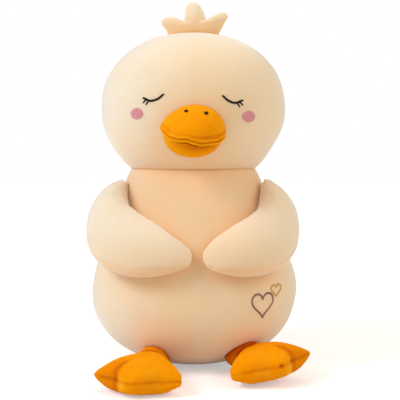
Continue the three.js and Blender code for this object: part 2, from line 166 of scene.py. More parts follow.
def startGroup(name, inputs, outputs):
    group = bpy.data.node_groups.new(name, "ShaderNodeTree")
    for way, sockets in (("INPUT", inputs), ("OUTPUT", outputs)):
        for label, value in sockets.items():
            kind = "NodeSocketColor" if isinstance(value, tuple) else "NodeSocketFloat"
            socket = group.interface.new_socket(label, in_out=way, socket_type=kind)
            socket.default_value = value
    return group, group.nodes.new("NodeGroupInput").outputs, group.nodes.new("NodeGroupOutput")


def makePileGroup():
    # Short plush pile: paler patches at random, fibre clumps and gaps, paler nap with painted light from
    # one mask, and painted shade in seams and creases from another
    group, given, result = startGroup(
        "shortPile",
        {"Colour": white, "Deep": white, "PaleNapAndLight": white, "Patches": 14, "Fibres": 900, "Contrast": 0.1},
        {"Colour": white, "Roughness": 0, "Height": 0},
    )
    coords = addNode(group, "ShaderNodeTexCoord").outputs["Object"]
    lay = addNode(group, "ShaderNodeMapping", {"Vector": coords, "Scale": pile["stretch"]}).outputs[0]
    patches = addNoise(group, coords, given["Patches"], pile["patchDetail"], pile["patchRoughness"])
    clumps = addNoise(group, lay, addScaled(group, given["Fibres"], pile["clumpShare"]), 1)
    fibres = addNoise(group, lay, given["Fibres"], 1)
    napAndPaintedLight, paintedShade = (addNode(group, "ShaderNodeAttribute", attribute_name=name).outputs["Fac"]
                     for name in ("napAndPaintedLight", "paintedShade"))
    patchy = addMath(group, "MULTIPLY", addRamp(group, patches, *pile["patchRamp"]), given["Contrast"])
    uneven = addScaled(group, addRamp(group, clumps, *pile["clumpRamp"]),
                       pile["clumpLift"], 1 - pile["clumpLift"])
    # Random paler patches and the mask of real nap and painted light lift the colour towards the pale one
    lift = addMath(group, "MULTIPLY_ADD", napAndPaintedLight, uneven, patchy, clamp=True)
    colour = addMix(group, lift, given["Colour"], given["PaleNapAndLight"])
    # Darker gaps between fibres and clumps, and painted shade in seams and creases, take the deep colour
    gapsAndShade = addScaled(group, addRamp(group, clumps, *pile["clumpGap"]), pile["clumpGapDepth"], paintedShade)
    gapsAndShade = addMath(group, "MULTIPLY_ADD", addRamp(group, fibres, *pile["fibreGap"]),
                   pile["fibreGapDepth"], gapsAndShade, clamp=True)
    height = addScaled(group, fibres, pile["fibreHeight"], addScaled(group, clumps, pile["clumpHeight"]))
    feed(group, result, {
        "Colour": addMix(group, gapsAndShade, colour, given["Deep"]), "Height": height,
        "Roughness": addScaled(group, clumps, pile["roughnessSpread"], pile["roughness"]),
    })
    return group


def makeThreadGroup():
    # Embroidery thread: slight differences from stitch to stitch and a fine twist
    group, given, result = startGroup(
        "stitchThread", {"Colour": white, "Worn": white, "Spread": 0.5}, {"Colour": white, "Height": 0})
    coords = addNode(group, "ShaderNodeTexCoord").outputs["Object"]
    tone = addNoise(group, coords, thread["toneScale"], 1)
    inputs = {"Vector": coords, "Scale": thread["twistScale"], "Distortion": thread["twistDistortion"]}
    twist = addNode(group, "ShaderNodeTexWave", inputs, wave_type="BANDS", bands_direction="DIAGONAL")
    amount = addMath(group, "MULTIPLY", addRamp(group, tone, *thread["toneRamp"]), given["Spread"])
    feed(group, result, {"Colour": addMix(group, amount, given["Colour"], given["Worn"]),
                         "Height": twist.outputs["Fac"]})
    return group


pileGroup = makePileGroup()
threadGroup = makeThreadGroup()


def hexColour(code):
    # The written sRGB colour as linear light
    parts = [int(code[i:i + 2], 16) / 255 for i in (0, 2, 4)]
    linear = [p / 12.92 if p <= 0.04045 else ((p + 0.055) / 1.055) ** 2.4 for p in parts]
    return (*linear, 1)


def makeMaterial(name, group, effects, surface, relief, reliefDepth):
    material = bpy.data.materials.new(name)
    material.use_nodes = True
    tree = material.node_tree
    made = addNode(tree, "ShaderNodeGroup", effects, node_tree=group).outputs
    inputs = {"Height": made["Height"], "Strength": relief, "Distance": reliefDepth}
    bump = addNode(tree, "ShaderNodeBump", inputs)
    surface = {"Base Color": made["Colour"], "Normal": bump.outputs["Normal"]} | surface
    if "Roughness" in made:
        surface["Roughness"] = made["Roughness"]
    feed(tree, tree.nodes["Principled BSDF"], surface)
    return material


def plushMaterial(name, colour, deep, napAndPaintedLight, patches, sheen, sheenTint):
    effects = {"Colour": hexColour(colour), "Deep": hexColour(deep), "PaleNapAndLight": hexColour(napAndPaintedLight),
               "Patches": patches, "Fibres": pile["fibres"], "Contrast": pile["contrast"]}
    surface = {"Specular IOR Level": 0.05, "Sheen Weight": sheen, "Sheen Roughness": 0.6,
               "Sheen Tint": hexColour(sheenTint), "Subsurface Weight": 0.4,
               "Subsurface Radius": (1, 0.68, 0.36), "Subsurface Scale": 11 * mm}
    return makeMaterial(name, pileGroup, effects, surface, pile["relief"], pile["reliefDepth"])


def threadMaterial(name, colour, worn, spread, shine=0.4):
    effects = {"Colour": hexColour(colour), "Worn": hexColour(worn), "Spread": spread}
    surface = {"Roughness": 0.5, "Specular IOR Level": shine, "Sheen Weight": shine * 0.3}
    return makeMaterial(name, threadGroup, effects, surface, thread["relief"], thread["reliefDepth"])


# Each plush has its colour, a deep colour for painted shade and fibre gaps, and a pale colour for patches,
# nap and painted light
finishes = {
    "cream_plush": plushMaterial("cream_plush", "f8dbb0", "f4a438", "fdf2de", 11, 1, "fffdf8"),
    "orange_plush": plushMaterial("orange_plush", "ff9d00", "b83a00", "ffb71e", 30, 0, "ffa810"),
}
threads = {
    "dark_thread": ("1a1310", "342a26", 0.4, 0.15), "pink_thread": ("ee9ba2", "f7bfc0", 0.6),
    "nostril_thread": ("221004", "3a2009", 0.4, 0.1), "rosewood_thread": ("a4655c", "bb8277", 0.5),
    "mustard_thread": ("dcae35", "ecc765", 0.5), "cream_thread": ("e9cfa6", "f6e4c6", 0.5),
}
for name, made in threads.items():
    finishes[name] = threadMaterial(name, *made)
print("materials made")


# Making pieces

def addObject(name, data):
    added = bpy.data.objects.new(name, data)
    bpy.context.scene.collection.objects.link(added)
    return added


def addMeshObject(name, bm):
    mesh = bpy.data.meshes.new(name)
    bm.to_mesh(mesh)
    return addObject(name, mesh)


def faceOut(bm):
    # Faces point outwards, also on a form so bent that the recalculation takes its inside for its outside
    bmesh.ops.recalc_face_normals(bm, faces=bm.faces[:])
    if bm.calc_volume(signed=True) < 0:
        bmesh.ops.reverse_faces(bm, faces=bm.faces[:])


def finishPiece(name, bm, finish, fineness=1):
    # Turns a bmesh into a shown object; its masks of painted shade and of nap with painted light go with it
    faceOut(bm)
    piece = addMeshObject(name, bm)
    bm.free()
    piece.data.shade_smooth()
    piece.data.materials.append(finishes[finish])
    if fineness:
        rounding = piece.modifiers.new("rounding", "SUBSURF")
        rounding.levels = fineness
        rounding.render_levels = fineness
    return piece


def stuffedPiece(name, bm, slotName, part, bodyName=None):
    # A padded piece stands for a part's cover and filling
    piece = finishPiece(name, bm, slotName)
    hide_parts(part + "_cover", part + "_filling")
    if bodyName:
        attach(piece, bodyName)
    return piece


def maskLayer(bm, name):
    return bm.verts.layers.float.get(name) or bm.verts.layers.float.new(name)


def roundForm(sized):
    # Limbs, feet, bill and tuft all start as a sphere that is then drawn out
    bm = bmesh.new()
    bmesh.ops.create_uvsphere(bm, u_segments=sized["segments"], v_segments=sized["rings"], radius=1)
    return bm, maskLayer(bm, "paintedShade")


def turnAndPlace(bm, turned, place, verts=None):
    verts = verts or bm.verts[:]
    bmesh.ops.rotate(bm, cent=origin, matrix=turned, verts=verts)
    bmesh.ops.translate(bm, vec=place, verts=verts)


def moveOut(bm, amountOf):
    # Moves each vertex along its normal by its own amount
    bm.normal_update()
    moves = [(vert, vert.normal * amountOf(vert)) for vert in bm.verts]
    for vert, move in moves:
        vert.co += move


def keepAbove(bm, height):
    for vert in bm.verts:
        vert.co.z = max(vert.co.z, height)


def waviness(place, size, seed):
    return noise.noise(place / size + Vector((seed, seed * 0.7, seed * 1.3)))


filling = {"lump": 0.9 * mm, "lumpSize": 70 * mm, "ripple": 0.35 * mm, "rippleSize": 24 * mm}


def stuffing(place):
    # The slight unevenness of fibre filling under cloth
    return (filling["lump"] * waviness(place, filling["lumpSize"], 3)
            + filling["ripple"] * waviness(place, filling["rippleSize"], 8))


def seatOn(bm, tree, depth):
    # Brings what lies deeper than this inside a neighbour back to that depth
    for vert in bm.verts:
        place, normal, _, _ = tree.find_nearest(vert.co)
        if (vert.co - place).dot(normal) < -depth:
            vert.co = place - normal * depth


def pressOn(bm, tree, reach):
    # The side that lies against a neighbour is pressed flatter on it, so that the crease is tight
    bm.normal_update()
    moves = []
    for vert in bm.verts:
        place, normal, _, away = tree.find_nearest(vert.co, reach)
        if place is not None and vert.normal.dot(normal) < 0:
            moves.append((vert, (place - vert.co) * (1 - (away / reach) ** 0.8)))
    for vert, move in moves:
        vert.co += move


def proudOf(tree, place):
    # How far a place is in front of or behind the nearest spot of a surface
    nearest, normal, _, _ = tree.find_nearest(place)
    return abs((place - nearest).dot(normal))


def addToMask(bm, name, amountAt):
    # Adds to a mask: one paints paler nap and painted light, the other painted shade in seams and creases
    layer = maskLayer(bm, name)
    for vert in bm.verts:
        vert[layer] = min(max(vert[layer] + amountAt(vert.co), 0), 1)


def paintShadeNear(bm, trees, line, halo, reach, most=1):
    # Painted shade in the crease against a neighbour and in a halo round it
    lineReach = 1.6 * mm

    def depthAt(co):
        away = min(tree.find_nearest(co)[3] for tree in trees)
        return min(fade(away, lineReach, line) + fade(away, reach, halo), most)

    addToMask(bm, "paintedShade", depthAt)


cloth = {"voxel": 4.5 * mm, "fineShare": 0.7, "pressure": 4, "frames": 20, "neighbours": 4,
         "near": 0.5 * mm}


def swellCloth(bm, voxel, cap):
    # Simulates the cover as cloth under its filling's pressure, then moves the finer mesh alike
    scene = bpy.context.scene
    cover = addMeshObject("cover_cloth", bm)
    mesh = cover.data
    voxels = cover.modifiers.new("voxels", "REMESH")
    voxels.mode = "VOXEL"
    voxels.voxel_size = voxel
    graph = bpy.context.evaluated_depsgraph_get()
    even = bpy.data.meshes.new_from_object(cover.evaluated_get(graph))
    cover.modifiers.clear()
    cover.data = even
    atRest = [vert.co.copy() for vert in even.vertices]
    outward = [vert.normal.copy() for vert in even.vertices]
    settings = cover.modifiers.new("cloth", "CLOTH").settings
    settings.use_pressure = True
    settings.uniform_pressure_force = cloth["pressure"]
    settings.effector_weights.gravity = 0
    for step in range(1, cloth["frames"] + 1):
        scene.frame_set(step)
    graph = bpy.context.evaluated_depsgraph_get()
    moves = [vert.co - place for vert, place in zip(cover.evaluated_get(graph).data.vertices, atRest)]
    cover.modifiers.clear()
    scene.frame_set(1)
    growth = sum(move.dot(normal) for move, normal in zip(moves, outward)) / len(moves)
    moves = [move - normal * growth for move, normal in zip(moves, outward)]
    moves = [move * min(1, cap / max(move.length, 1e-9)) for move in moves]
    print("cloth swelled by", round(growth / mm, 2), "mm, kept at size; widest move",
          round(max(move.length for move in moves) / mm, 2), "mm")
    places = KDTree(len(atRest))
    for index, place in enumerate(atRest):
        places.insert(place, index)
    places.balance()
    for vert in bm.verts:
        total, weights = Vector((0, 0, 0)), 0
        for _, index, away in places.find_n(vert.co, cloth["neighbours"]):
            weight = 1 / (away + cloth["near"])
            total += moves[index] * weight
            weights += weight
        vert.co += total / weights
    bpy.data.objects.remove(cover)
    for used in (mesh, even):
        bpy.data.meshes.remove(used)


def spunForm(profile, steps, depthShare):
    bm = bmesh.new()
    line = [bm.verts.new((radius, 0, height)) for radius, height in profile]
    for first, second in zip(line, line[1:]):
        bm.edges.new((first, second))
    bmesh.ops.spin(bm, geom=bm.verts[:] + bm.edges[:], cent=origin, axis=zAxis,
                   angle=2 * math.pi, steps=steps, use_merge=True)
    bmesh.ops.remove_doubles(bm, verts=bm.verts[:], dist=0.01 * mm)
    bmesh.ops.scale(bm, vec=(1, depthShare, 1), verts=bm.verts[:])
    faceOut(bm)
    return bm


sewing = {"cutGap": 0.02 * mm, "zoneShare": 8, "puckerShare": 0.3, "puckerZoneShare": 5,
          "puckerSize": 9 * mm, "warmth": 0.3}


def sewnLine(bm, across, depth, width, strengthAt):
    # A sewn seam in an upright plane through the middle: loops along it, the middle one drawn in
    for offset in (-width, 0, width):
        bmesh.ops.bisect_plane(bm, geom=bm.verts[:] + bm.edges[:] + bm.faces[:], dist=sewing["cutGap"],
                               plane_co=across * offset, plane_no=across)
    paintedShade = maskLayer(bm, "paintedShade")

    def drawnIn(vert):
        away = abs(vert.co.dot(across))
        strength = strengthAt(vert.co)
        if strength <= 0 or away > sewing["zoneShare"] * width:
            return 0
        if away < width / 4:
            # Painted shade in the seam's groove
            vert[paintedShade] = max(vert[paintedShade], sewing["warmth"] * strength)
            return -depth * strength
        pucker = sewing["puckerShare"] * depth * hill(away, sewing["puckerZoneShare"] * width)
        return pucker * waviness(vert.co, sewing["puckerSize"], 5) * strength

    moveOut(bm, drawnIn)


# Torso, an egg with a flat seat and a gathered neck

torso = {
    "seatRadius": 36 * mm, "bellyRadius": 143 * mm, "bellyHeight": 99.4 * mm,
    "neckRadius": 87.5 * mm, "neckHeight": 270 * mm,
    "shoulderFullness": 1.4, "seatFullness": 2.2, "depthShare": 0.86,
    "steps": 176, "lowRings": 30, "highRings": 44, "ringPower": 1.35, "seatLift": 0.2 * mm,
    "neckPull": (4 * mm, 0.8 * mm), "neckZone": 60 * mm, "neckCore": 50 * mm,
    "gather": (12 * mm, 0.5 * mm), "gatherFolds": ((9, 0.6), (21, 0.8)), "neckGap": 0.06 * mm,
    "neckLine": (1.1 * mm, 0.4), "neckHalo": (12 * mm, 0.2), "rimGap": 0.3 * mm, "rimCore": 40 * mm,
    "seamDepth": 0.8 * mm, "seamWidth": 1 * mm, "sideSeamShare": 0.6, "seamRise": (12 * mm, 20 * mm),
    "frontSeamRise": (2 * mm, 6 * mm), "frontSeamEnd": (42 * mm, -16 * mm),
    "stuffedRise": (4 * mm, 30 * mm), "stuffedFall": 20 * mm,
    "leftFullness": 4 * mm, "leftFullHeight": 118 * mm, "leftFullReach": 26 * mm,
    "napAndPaintedLight": 0.4, "paintedLightRise": (-30 * mm, -80 * mm),
}
seatAngle = math.acos((torso["seatRadius"] / torso["bellyRadius"]) ** (torso["seatFullness"] / 2))
bellyDrop = torso["bellyHeight"] / math.sin(seatAngle) ** (2 / torso["seatFullness"])


def torsoRadius(height):
    belly, fullness = torso["bellyHeight"], torso["seatFullness"]
    if height < belly:
        away = min((belly - height) / bellyDrop, 1)
        return torso["bellyRadius"] * (1 - away ** fullness) ** (1 / fullness)
    rise = (height - belly) / (torso["neckHeight"] - belly)
    narrowing = (torso["bellyRadius"] - torso["neckRadius"]) * rise ** torso["shoulderFullness"]
    return torso["bellyRadius"] - narrowing


def torsoOutward(angle, height):
    step = 0.3 * mm
    slope = (torsoRadius(height + step) - torsoRadius(height)) / step
    return Vector((math.sin(angle), -math.cos(angle) / torso["depthShare"], -slope)).normalized()


def torsoPlace(angle, height, proud=0):
    radius = torsoRadius(height)
    place = Vector((radius * math.sin(angle), -radius * torso["depthShare"] * math.cos(angle), height))
    return place + torsoOutward(angle, height) * proud


def gathers(place):
    # The small folds that a drawn-up neck seam leaves, the same above and below it
    around = math.atan2(place.x, -place.y)
    ring = Vector((math.cos(around), math.sin(around), 0))
    return sum(noise.noise(ring * count + Vector((4, 1, 0)) * index) * share
               for index, (count, share) in enumerate(torso["gatherFolds"]))


def drawNeck(bm):
    # The neck seam is drawn in level with itself, with its gathers, and painted shade deepens the colour in
    # its crease and round it
    paintedShade = maskLayer(bm, "paintedShade")
    for vert in bm.verts:
        away = abs(vert.co.z - torso["neckHeight"])
        if away < torso["neckZone"] and vert.co.xy.length > torso["neckCore"]:
            move = gathers(vert.co) * fade(away, *torso["gather"]) - fade(away, *torso["neckPull"])
            vert.co.xy *= 1 + move / vert.co.xy.length
        warm = fade(away, *torso["neckLine"]) + fade(away, *torso["neckHalo"])
        vert[paintedShade] = min(vert[paintedShade] + warm, 1)


def keepRim(bm, height):
    # The neck's rims stay sharp, so that torso and head meet without a slit
    crease = bm.edges.layers.float.get("crease_edge") or bm.edges.layers.float.new("crease_edge")
    for edge in bm.edges:
        if all(abs(vert.co.z - height) < torso["rimGap"] and vert.co.xy.length > torso["rimCore"]
               for vert in edge.verts):
            edge[crease] = 1


def backOrFront(co):
    # The back seam runs up the whole torso, the front one fades out under the belly
    if co.y > 0:
        return ease(co.z, *torso["seamRise"])
    return ease(co.z, *torso["frontSeamEnd"]) * ease(co.z, *torso["frontSeamRise"])


def makeTorso():
    belly, neck = torso["bellyHeight"], torso["neckHeight"]
    heights = []
    for step in range(torso["lowRings"], 0, -1):
        around = seatAngle * step / torso["lowRings"]
        heights.append(belly - bellyDrop * math.sin(around) ** (2 / torso["seatFullness"]))
    for step in range(torso["highRings"] + 1):
        rise = 1 - (1 - step / torso["highRings"]) ** torso["ringPower"]
        heights.append(mix(belly, neck - torso["neckGap"], rise))
    heights[0] = torso["seatLift"]
    profile = [(torsoRadius(height), height) for height in heights]
    bm = spunForm([(0, heights[0])] + profile + [(0, heights[-1])], torso["steps"], torso["depthShare"])
    for side in (1, -1):
        sewnLine(bm, yAxis * side, torso["seamDepth"] * torso["sideSeamShare"], torso["seamWidth"],
                 lambda co, s=side: float(co.x * s > 0) * ease(co.z, *torso["seamRise"]))
    sewnLine(bm, xAxis, torso["seamDepth"], torso["seamWidth"], backOrFront)
    moveOut(bm, lambda vert: (stuffing(vert.co) * ease(vert.co.z, *torso["stuffedRise"])
                              * ease(vert.co.z, neck, -torso["stuffedFall"])))
    moveOut(bm, lambda vert: (torso["leftFullness"] * smooth(vert.co.x / torso["bellyRadius"])
                              * hill(vert.co.z - torso["leftFullHeight"], torso["leftFullReach"])))
    # Painted light: the torso paler towards -X, the side the key light comes from
    addToMask(bm, "napAndPaintedLight", lambda co: torso["napAndPaintedLight"] * ease(co.x, *torso["paintedLightRise"]))
    drawNeck(bm)
    keepRim(bm, neck)
    keepAbove(bm, 0)
    return bm


# Head, gathered into the same neck seam

head = {
    "radius": 129 * mm, "crownRise": 107.5 * mm, "chinDrop": 113 * mm,
    "crownFullness": 2.2, "chinFullness": 1.95, "depthShare": 0.86,
    "steps": 176, "lowRings": 34, "highRings": 40, "ringPower": 1.3,
    "seamDepth": 0.6 * mm, "seamWidth": 1 * mm, "seamStart": 6 * mm, "seamFade": 14 * mm,
    "foreheadSeam": (432 * mm, 12 * mm), "stuffedFrom": 1 * mm, "stuffedRise": 20 * mm,
    "chinTrim": 3 * mm, "chinTrimHeight": 297 * mm, "chinTrimReach": 30 * mm, "chinTrimSpread": 80 * mm,
    "nap": 0.14, "napRise": (4 * mm, -16 * mm), "napAndPaintedLight": 0.4, "paintedLightReach": 90 * mm,
    "chinNapAndLightShare": 0.4, "chinFade": (290 * mm, 60 * mm),
}
neckShare = torso["neckRadius"] / head["radius"]
chinRise = (1 - neckShare ** head["chinFullness"]) ** (1 / head["chinFullness"])
headMiddle = torso["neckHeight"] + head["chinDrop"] * chinRise
crownHeight = headMiddle + head["crownRise"]


def headRing(around, fullness, rise):
    return (head["radius"] * math.cos(around) ** (2 / fullness),
            headMiddle + rise * math.sin(around) ** (2 / fullness))


def headStuffing(vert):
    # A little less filling on the left of the chin
    trim = (head["chinTrim"] * smooth(vert.co.x / head["chinTrimSpread"])
            * hill(vert.co.z - head["chinTrimHeight"], head["chinTrimReach"]))
    low = torso["neckHeight"] + torso["neckGap"] + head["stuffedFrom"]
    return (stuffing(vert.co) - trim) * ease(vert.co.z, low, head["stuffedRise"])


# The duck's right head panel has a paler nap of its own; painted light makes the head paler towards -X,
# where the key light comes from, and both are weaker low on the chin
def headNapAndPaintedLight(co):
    sides = (head["nap"] * ease(co.x, *head["napRise"])
             + head["napAndPaintedLight"] * smooth(-co.x / head["paintedLightReach"]))
    return sides * mix(head["chinNapAndLightShare"], 1, ease(co.z, *head["chinFade"]))


def makeHead():
    neckTurn = math.asin(chinRise ** (head["chinFullness"] / 2))
    profile = []
    for step in range(head["lowRings"], 0, -1):
        around = neckTurn * (1 - (1 - step / head["lowRings"]) ** head["ringPower"])
        profile.append(headRing(around, head["chinFullness"], -head["chinDrop"]))
    for step in range(head["highRings"]):
        profile.append(headRing(math.pi / 2 * step / head["highRings"], head["crownFullness"],
                                head["crownRise"]))
    bottom = torso["neckHeight"] + torso["neckGap"]
    profile[0] = (profile[0][0], bottom)
    bm = spunForm([(0, bottom)] + profile + [(0, crownHeight)], head["steps"], head["depthShare"])
    start = torso["neckHeight"] + head["seamStart"]
    sewnLine(bm, xAxis, head["seamDepth"], head["seamWidth"],
             lambda co: (ease(co.z, start, head["seamFade"]) if co.y > 0
                         else ease(co.z, *head["foreheadSeam"])))
    moveOut(bm, headStuffing)
    addToMask(bm, "napAndPaintedLight", headNapAndPaintedLight)
    drawNeck(bm)
    keepRim(bm, bottom)
    return bm


torsoBm = makeTorso()
torsoTree = BVHTree.FromBMesh(torsoBm)
headBm = makeHead()
headTree = BVHTree.FromBMesh(headBm)
print("torso and head shaped")


# Wings, folded round the front of the torso

wing = {
    "topHeight": 248 * mm, "halfThickness": 26 * mm,
    "angles": [72, 64.5, 58.5, 51, 39.5, 25.5, 13],
    "heightShares": [1, 0.79, 0.56, 0.36, 0.225, 0.14, 0.075, 0.03],
    "widthShares": [0.42, 0.72, 0.9, 1, 1, 0.92, 0.72, 0.5],
    "thicknessShares": [0.78, 0.98, 1, 0.95, 0.85, 0.68, 0.45],
    "seatShare": 0.7, "bluntShare": 0.6, "segments": 112, "rings": 84,
    "lowShare": 1.1, "lowRise": (0.3, 0.25), "tipRise": (0.86, 0.14), "rootFall": (0.1, -0.1),
    "lowSeamAngle": 50, "highSeamAngle": 112, "seamDepth": 0.8 * mm, "seamWidth": 2.4 * mm,
    "pucker": 0.7 * mm, "puckerSize": 7 * mm, "tipPuckers": 2.2,
    "gather": 0.9 * mm, "folds": 7, "foldBend": 1.3, "tipFoldShare": 0.8,
    "seamWarmth": 0.14, "bandWarmth": 0.22, "bandRise": 0.12, "bandFall": (1.4, -0.4),
    "clearance": 0.6 * mm, "cap": 1.2 * mm, "fullness": 2 * mm, "pressReach": 6 * mm,
    "paintedLightRise": (145 * mm, 55 * mm),
    "bendStart": 5 * mm, "bendEnd": 46 * mm, "bendInward": 8 * mm,
}
leftWing = {"side": 1, "tipAngle": 5.5, "tipHeight": 151 * mm, "halfWidth": 37.5 * mm,
            "rootSeatShare": 0.7, "rootThickShare": 0.42, "napAndPaintedLight": 0.3, "warmth": 0.04}
rightWing = {"side": -1, "tipAngle": 1.5, "tipHeight": 153 * mm, "halfWidth": 40 * mm,
             "rootSeatShare": 0.2, "rootThickShare": 0.48, "napAndPaintedLight": 0.6, "warmth": 0}


def awayFromTorso(place):
    return torsoOutward(math.atan2(place.x, -place.y / torso["depthShare"]), place.z)


def sweptAt(co, blunt):
    # What a sphere's vertex means on a limb: along it, round it, and how full the limb is there
    return (1 - co.z) / 2, math.atan2(co.y, co.x), min(co.xy.length, 1) ** blunt


def wingLine(sized):
    thickShares = [sized["rootThickShare"]] + wing["thicknessShares"]
    places, sizes = [], []
    for index, angle in enumerate(wing["angles"] + [sized["tipAngle"]]):
        height = mix(sized["tipHeight"], wing["topHeight"], wing["heightShares"][index])
        thickness = wing["halfThickness"] * thickShares[index]
        seated = thickness * (wing["seatShare"] if index else sized["rootSeatShare"])
        places.append(torsoPlace(sized["side"] * math.radians(angle), height, seated))
        sizes.append(Vector((thickness, sized["halfWidth"] * wing["widthShares"][index], 0)))
    return places, sizes


def makeWing(sized):
    side = sized["side"]
    places, sizes = wingLine(sized)
    bm, paintedShade = roundForm(wing)
    lowSeam = -side * math.radians(wing["lowSeamAngle"])
    highSeam = side * math.radians(wing["highSeamAngle"])
    details = {}
    for vert in bm.verts:
        along, around, swell = sweptAt(vert.co, wing["bluntShare"])
        size, middle = curveAt(sizes, along), curveAt(places, along)
        forward = curveAlong(places, along)
        outward = awayFromTorso(middle)
        outward = (outward - forward * outward.dot(forward)).normalized()
        across = forward.cross(outward)
        low = smooth(-math.sin(around) * side * 2) * ease(along, *wing["lowRise"])
        high = size.y * mix(1, wing["lowShare"], low)
        spoke = outward * size.x * math.cos(around) + across * high * math.sin(around)
        vert.co = middle + spoke * swell
        below = math.remainder(around - lowSeam, 2 * math.pi) * -side
        toLow, toHigh = abs(below), abs(math.remainder(around - highSeam, 2 * math.pi))
        nearest = min(toLow, toHigh) * spoke.length * swell
        groove = hill(nearest, wing["seamWidth"])
        tip, root = ease(along, *wing["tipRise"]), ease(along, *wing["rootFall"])
        folds = math.sin(around * wing["folds"] + wing["foldBend"] * math.sin(around * 2))
        folds *= wing["gather"] * (tip * wing["tipFoldShare"] + root)
        puckers = (fade(nearest, wing["puckerSize"]) * wing["pucker"]
                   * (1 + wing["tipPuckers"] * tip) * waviness(vert.co, wing["puckerSize"], 2))
        body = smooth(swell * 3)
        details[vert] = folds * min(swell * 1.4, 1) + puckers - wing["seamDepth"] * groove * body
        # Painted shade in the low seam's groove and on the underside band below it
        band = smooth(below / wing["bandRise"]) * ease(below, *wing["bandFall"])
        warmth = wing["seamWarmth"] * groove * float(toLow < toHigh) + wing["bandWarmth"] * band
        vert[paintedShade] = warmth * body
    faceOut(bm)
    swellCloth(bm, cloth["voxel"], wing["cap"])
    moveOut(bm, lambda vert: (details[vert] + stuffing(vert.co)
                              + wing["fullness"] * smooth(vert.normal.dot(awayFromTorso(vert.co)) + 0.4)))
    pressOn(bm, torsoTree, wing["pressReach"])
    seatOn(bm, torsoTree, -wing["clearance"])
    # Painted shade in the crease against the torso and round it
    paintShadeNear(bm, [torsoTree], line=0.2, halo=0.3, reach=14 * mm, most=0.26)
    # Painted shade over the whole wing, set only for the left wing, which faces away from the key light
    addToMask(bm, "paintedShade", lambda co: sized["warmth"])
    # Painted light: the wing paler towards its top, more so on the right wing, which faces the key light
    addToMask(bm, "napAndPaintedLight", lambda co: sized["napAndPaintedLight"] * ease(co.z, *wing["paintedLightRise"]))
    return bm


wingTrees = []
for sideName, sized in (("left", leftWing), ("right", rightWing)):
    bodyName = f"{sideName}_wing"
    bm = makeWing(sized)
    wingTrees.append(BVHTree.FromBMesh(bm))
    piece = stuffedPiece(bodyName + "_plush", bm, "cream_plush", bodyName)
    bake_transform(piece)
print("wings made")


# Legs and feet; toes, creases and seams lie at shares of the way round the outline

foot = {
    "toeReach": 69 * mm, "topRise": 21 * mm, "soleDrop": 20 * mm, "topBlunt": 0.74, "soleBlunt": 0.48,
    "outline": [(-0.33, 0), (-0.22, -0.27), (0.14, -0.5), (0.574, -0.819), (0.79, -0.4),
                (1, 0), (0.79, 0.4), (0.574, 0.819), (0.14, 0.5), (-0.22, 0.27)],
    "toeTapers": (0.5, 0.35, 0.75), "soleTapers": (0.5, 0.08, 0.85), "toeWidth": 0.045,
    "toeShares": (0.3, 0.5, 0.7), "segments": 160, "rings": 56, "cap": 1 * mm,
    "creaseShare": 0.08, "creaseDepth": 1.5 * mm, "creaseWidth": 0.018, "creaseRise": (0.4, 0.35),
    "innerCreaseDepth": 0.5 * mm, "innerCreaseWidth": 0.02, "soleFade": (-10 * mm, 9 * mm),
    "seamDepth": 0.6 * mm, "seamWidth": 1.4 * mm, "seamSpotSize": 22 * mm, "rimShare": 0.8,
    "pucker": (10 * mm, 0.45 * mm), "puckerSize": 8 * mm, "puckers": 34,
    "pinchDepth": 2 * mm, "pinchWidth": 0.01, "pinchHeight": 2.6 * mm,
    "toeShadeFall": (0.17, -0.06), "napShare": 0.034, "napFall": (8 * mm, -12 * mm),
    "speckleSize": 9 * mm, "standDepth": 0.5 * mm, "clearance": 0.6 * mm,
    "grooveWarmth": 0.3, "tuckWarmth": 0.8, "creaseWarmth": 0.4, "innerWarmth": 0.1, "toeWarmth": 0.24,
}
leg = {
    "radius": 23 * mm, "rootSetback": 63 * mm, "ankleHeight": 21 * mm, "waistShare": 0.92,
    "bluntShare": 0.45, "segments": 72, "rings": 48, "sink": 2.5 * mm, "lift": 0.4 * mm,
    "gather": 0.3 * mm, "folds": 13, "foldBend": 2, "crease": (3 * mm, 0.8),
    "bendBefore": 14 * mm, "bendAfter": 6 * mm,
}
leftFoot = {"side": 1, "spread": 84.5 * mm, "advance": 91 * mm, "turn": 22, "pitch": 8, "roll": 9,
            "legSpread": 49 * mm, "legHeight": 30 * mm, "pinches": (0, 1, 0.4), "legWarmth": 0.4}
rightFoot = {"side": -1, "spread": 57.5 * mm, "advance": 126 * mm, "turn": 16, "pitch": 1, "roll": 0,
             "legSpread": 50 * mm, "legHeight": 17.5 * mm, "pinches": (0.4, 0, 0.9), "legWarmth": 0.1}


def outlineShare(co):
    # Where on the outline of a flat pad a sphere's vertex belongs, from 0 to 1
    return (math.atan2(co.x, co.y) / (2 * math.pi)) % 1


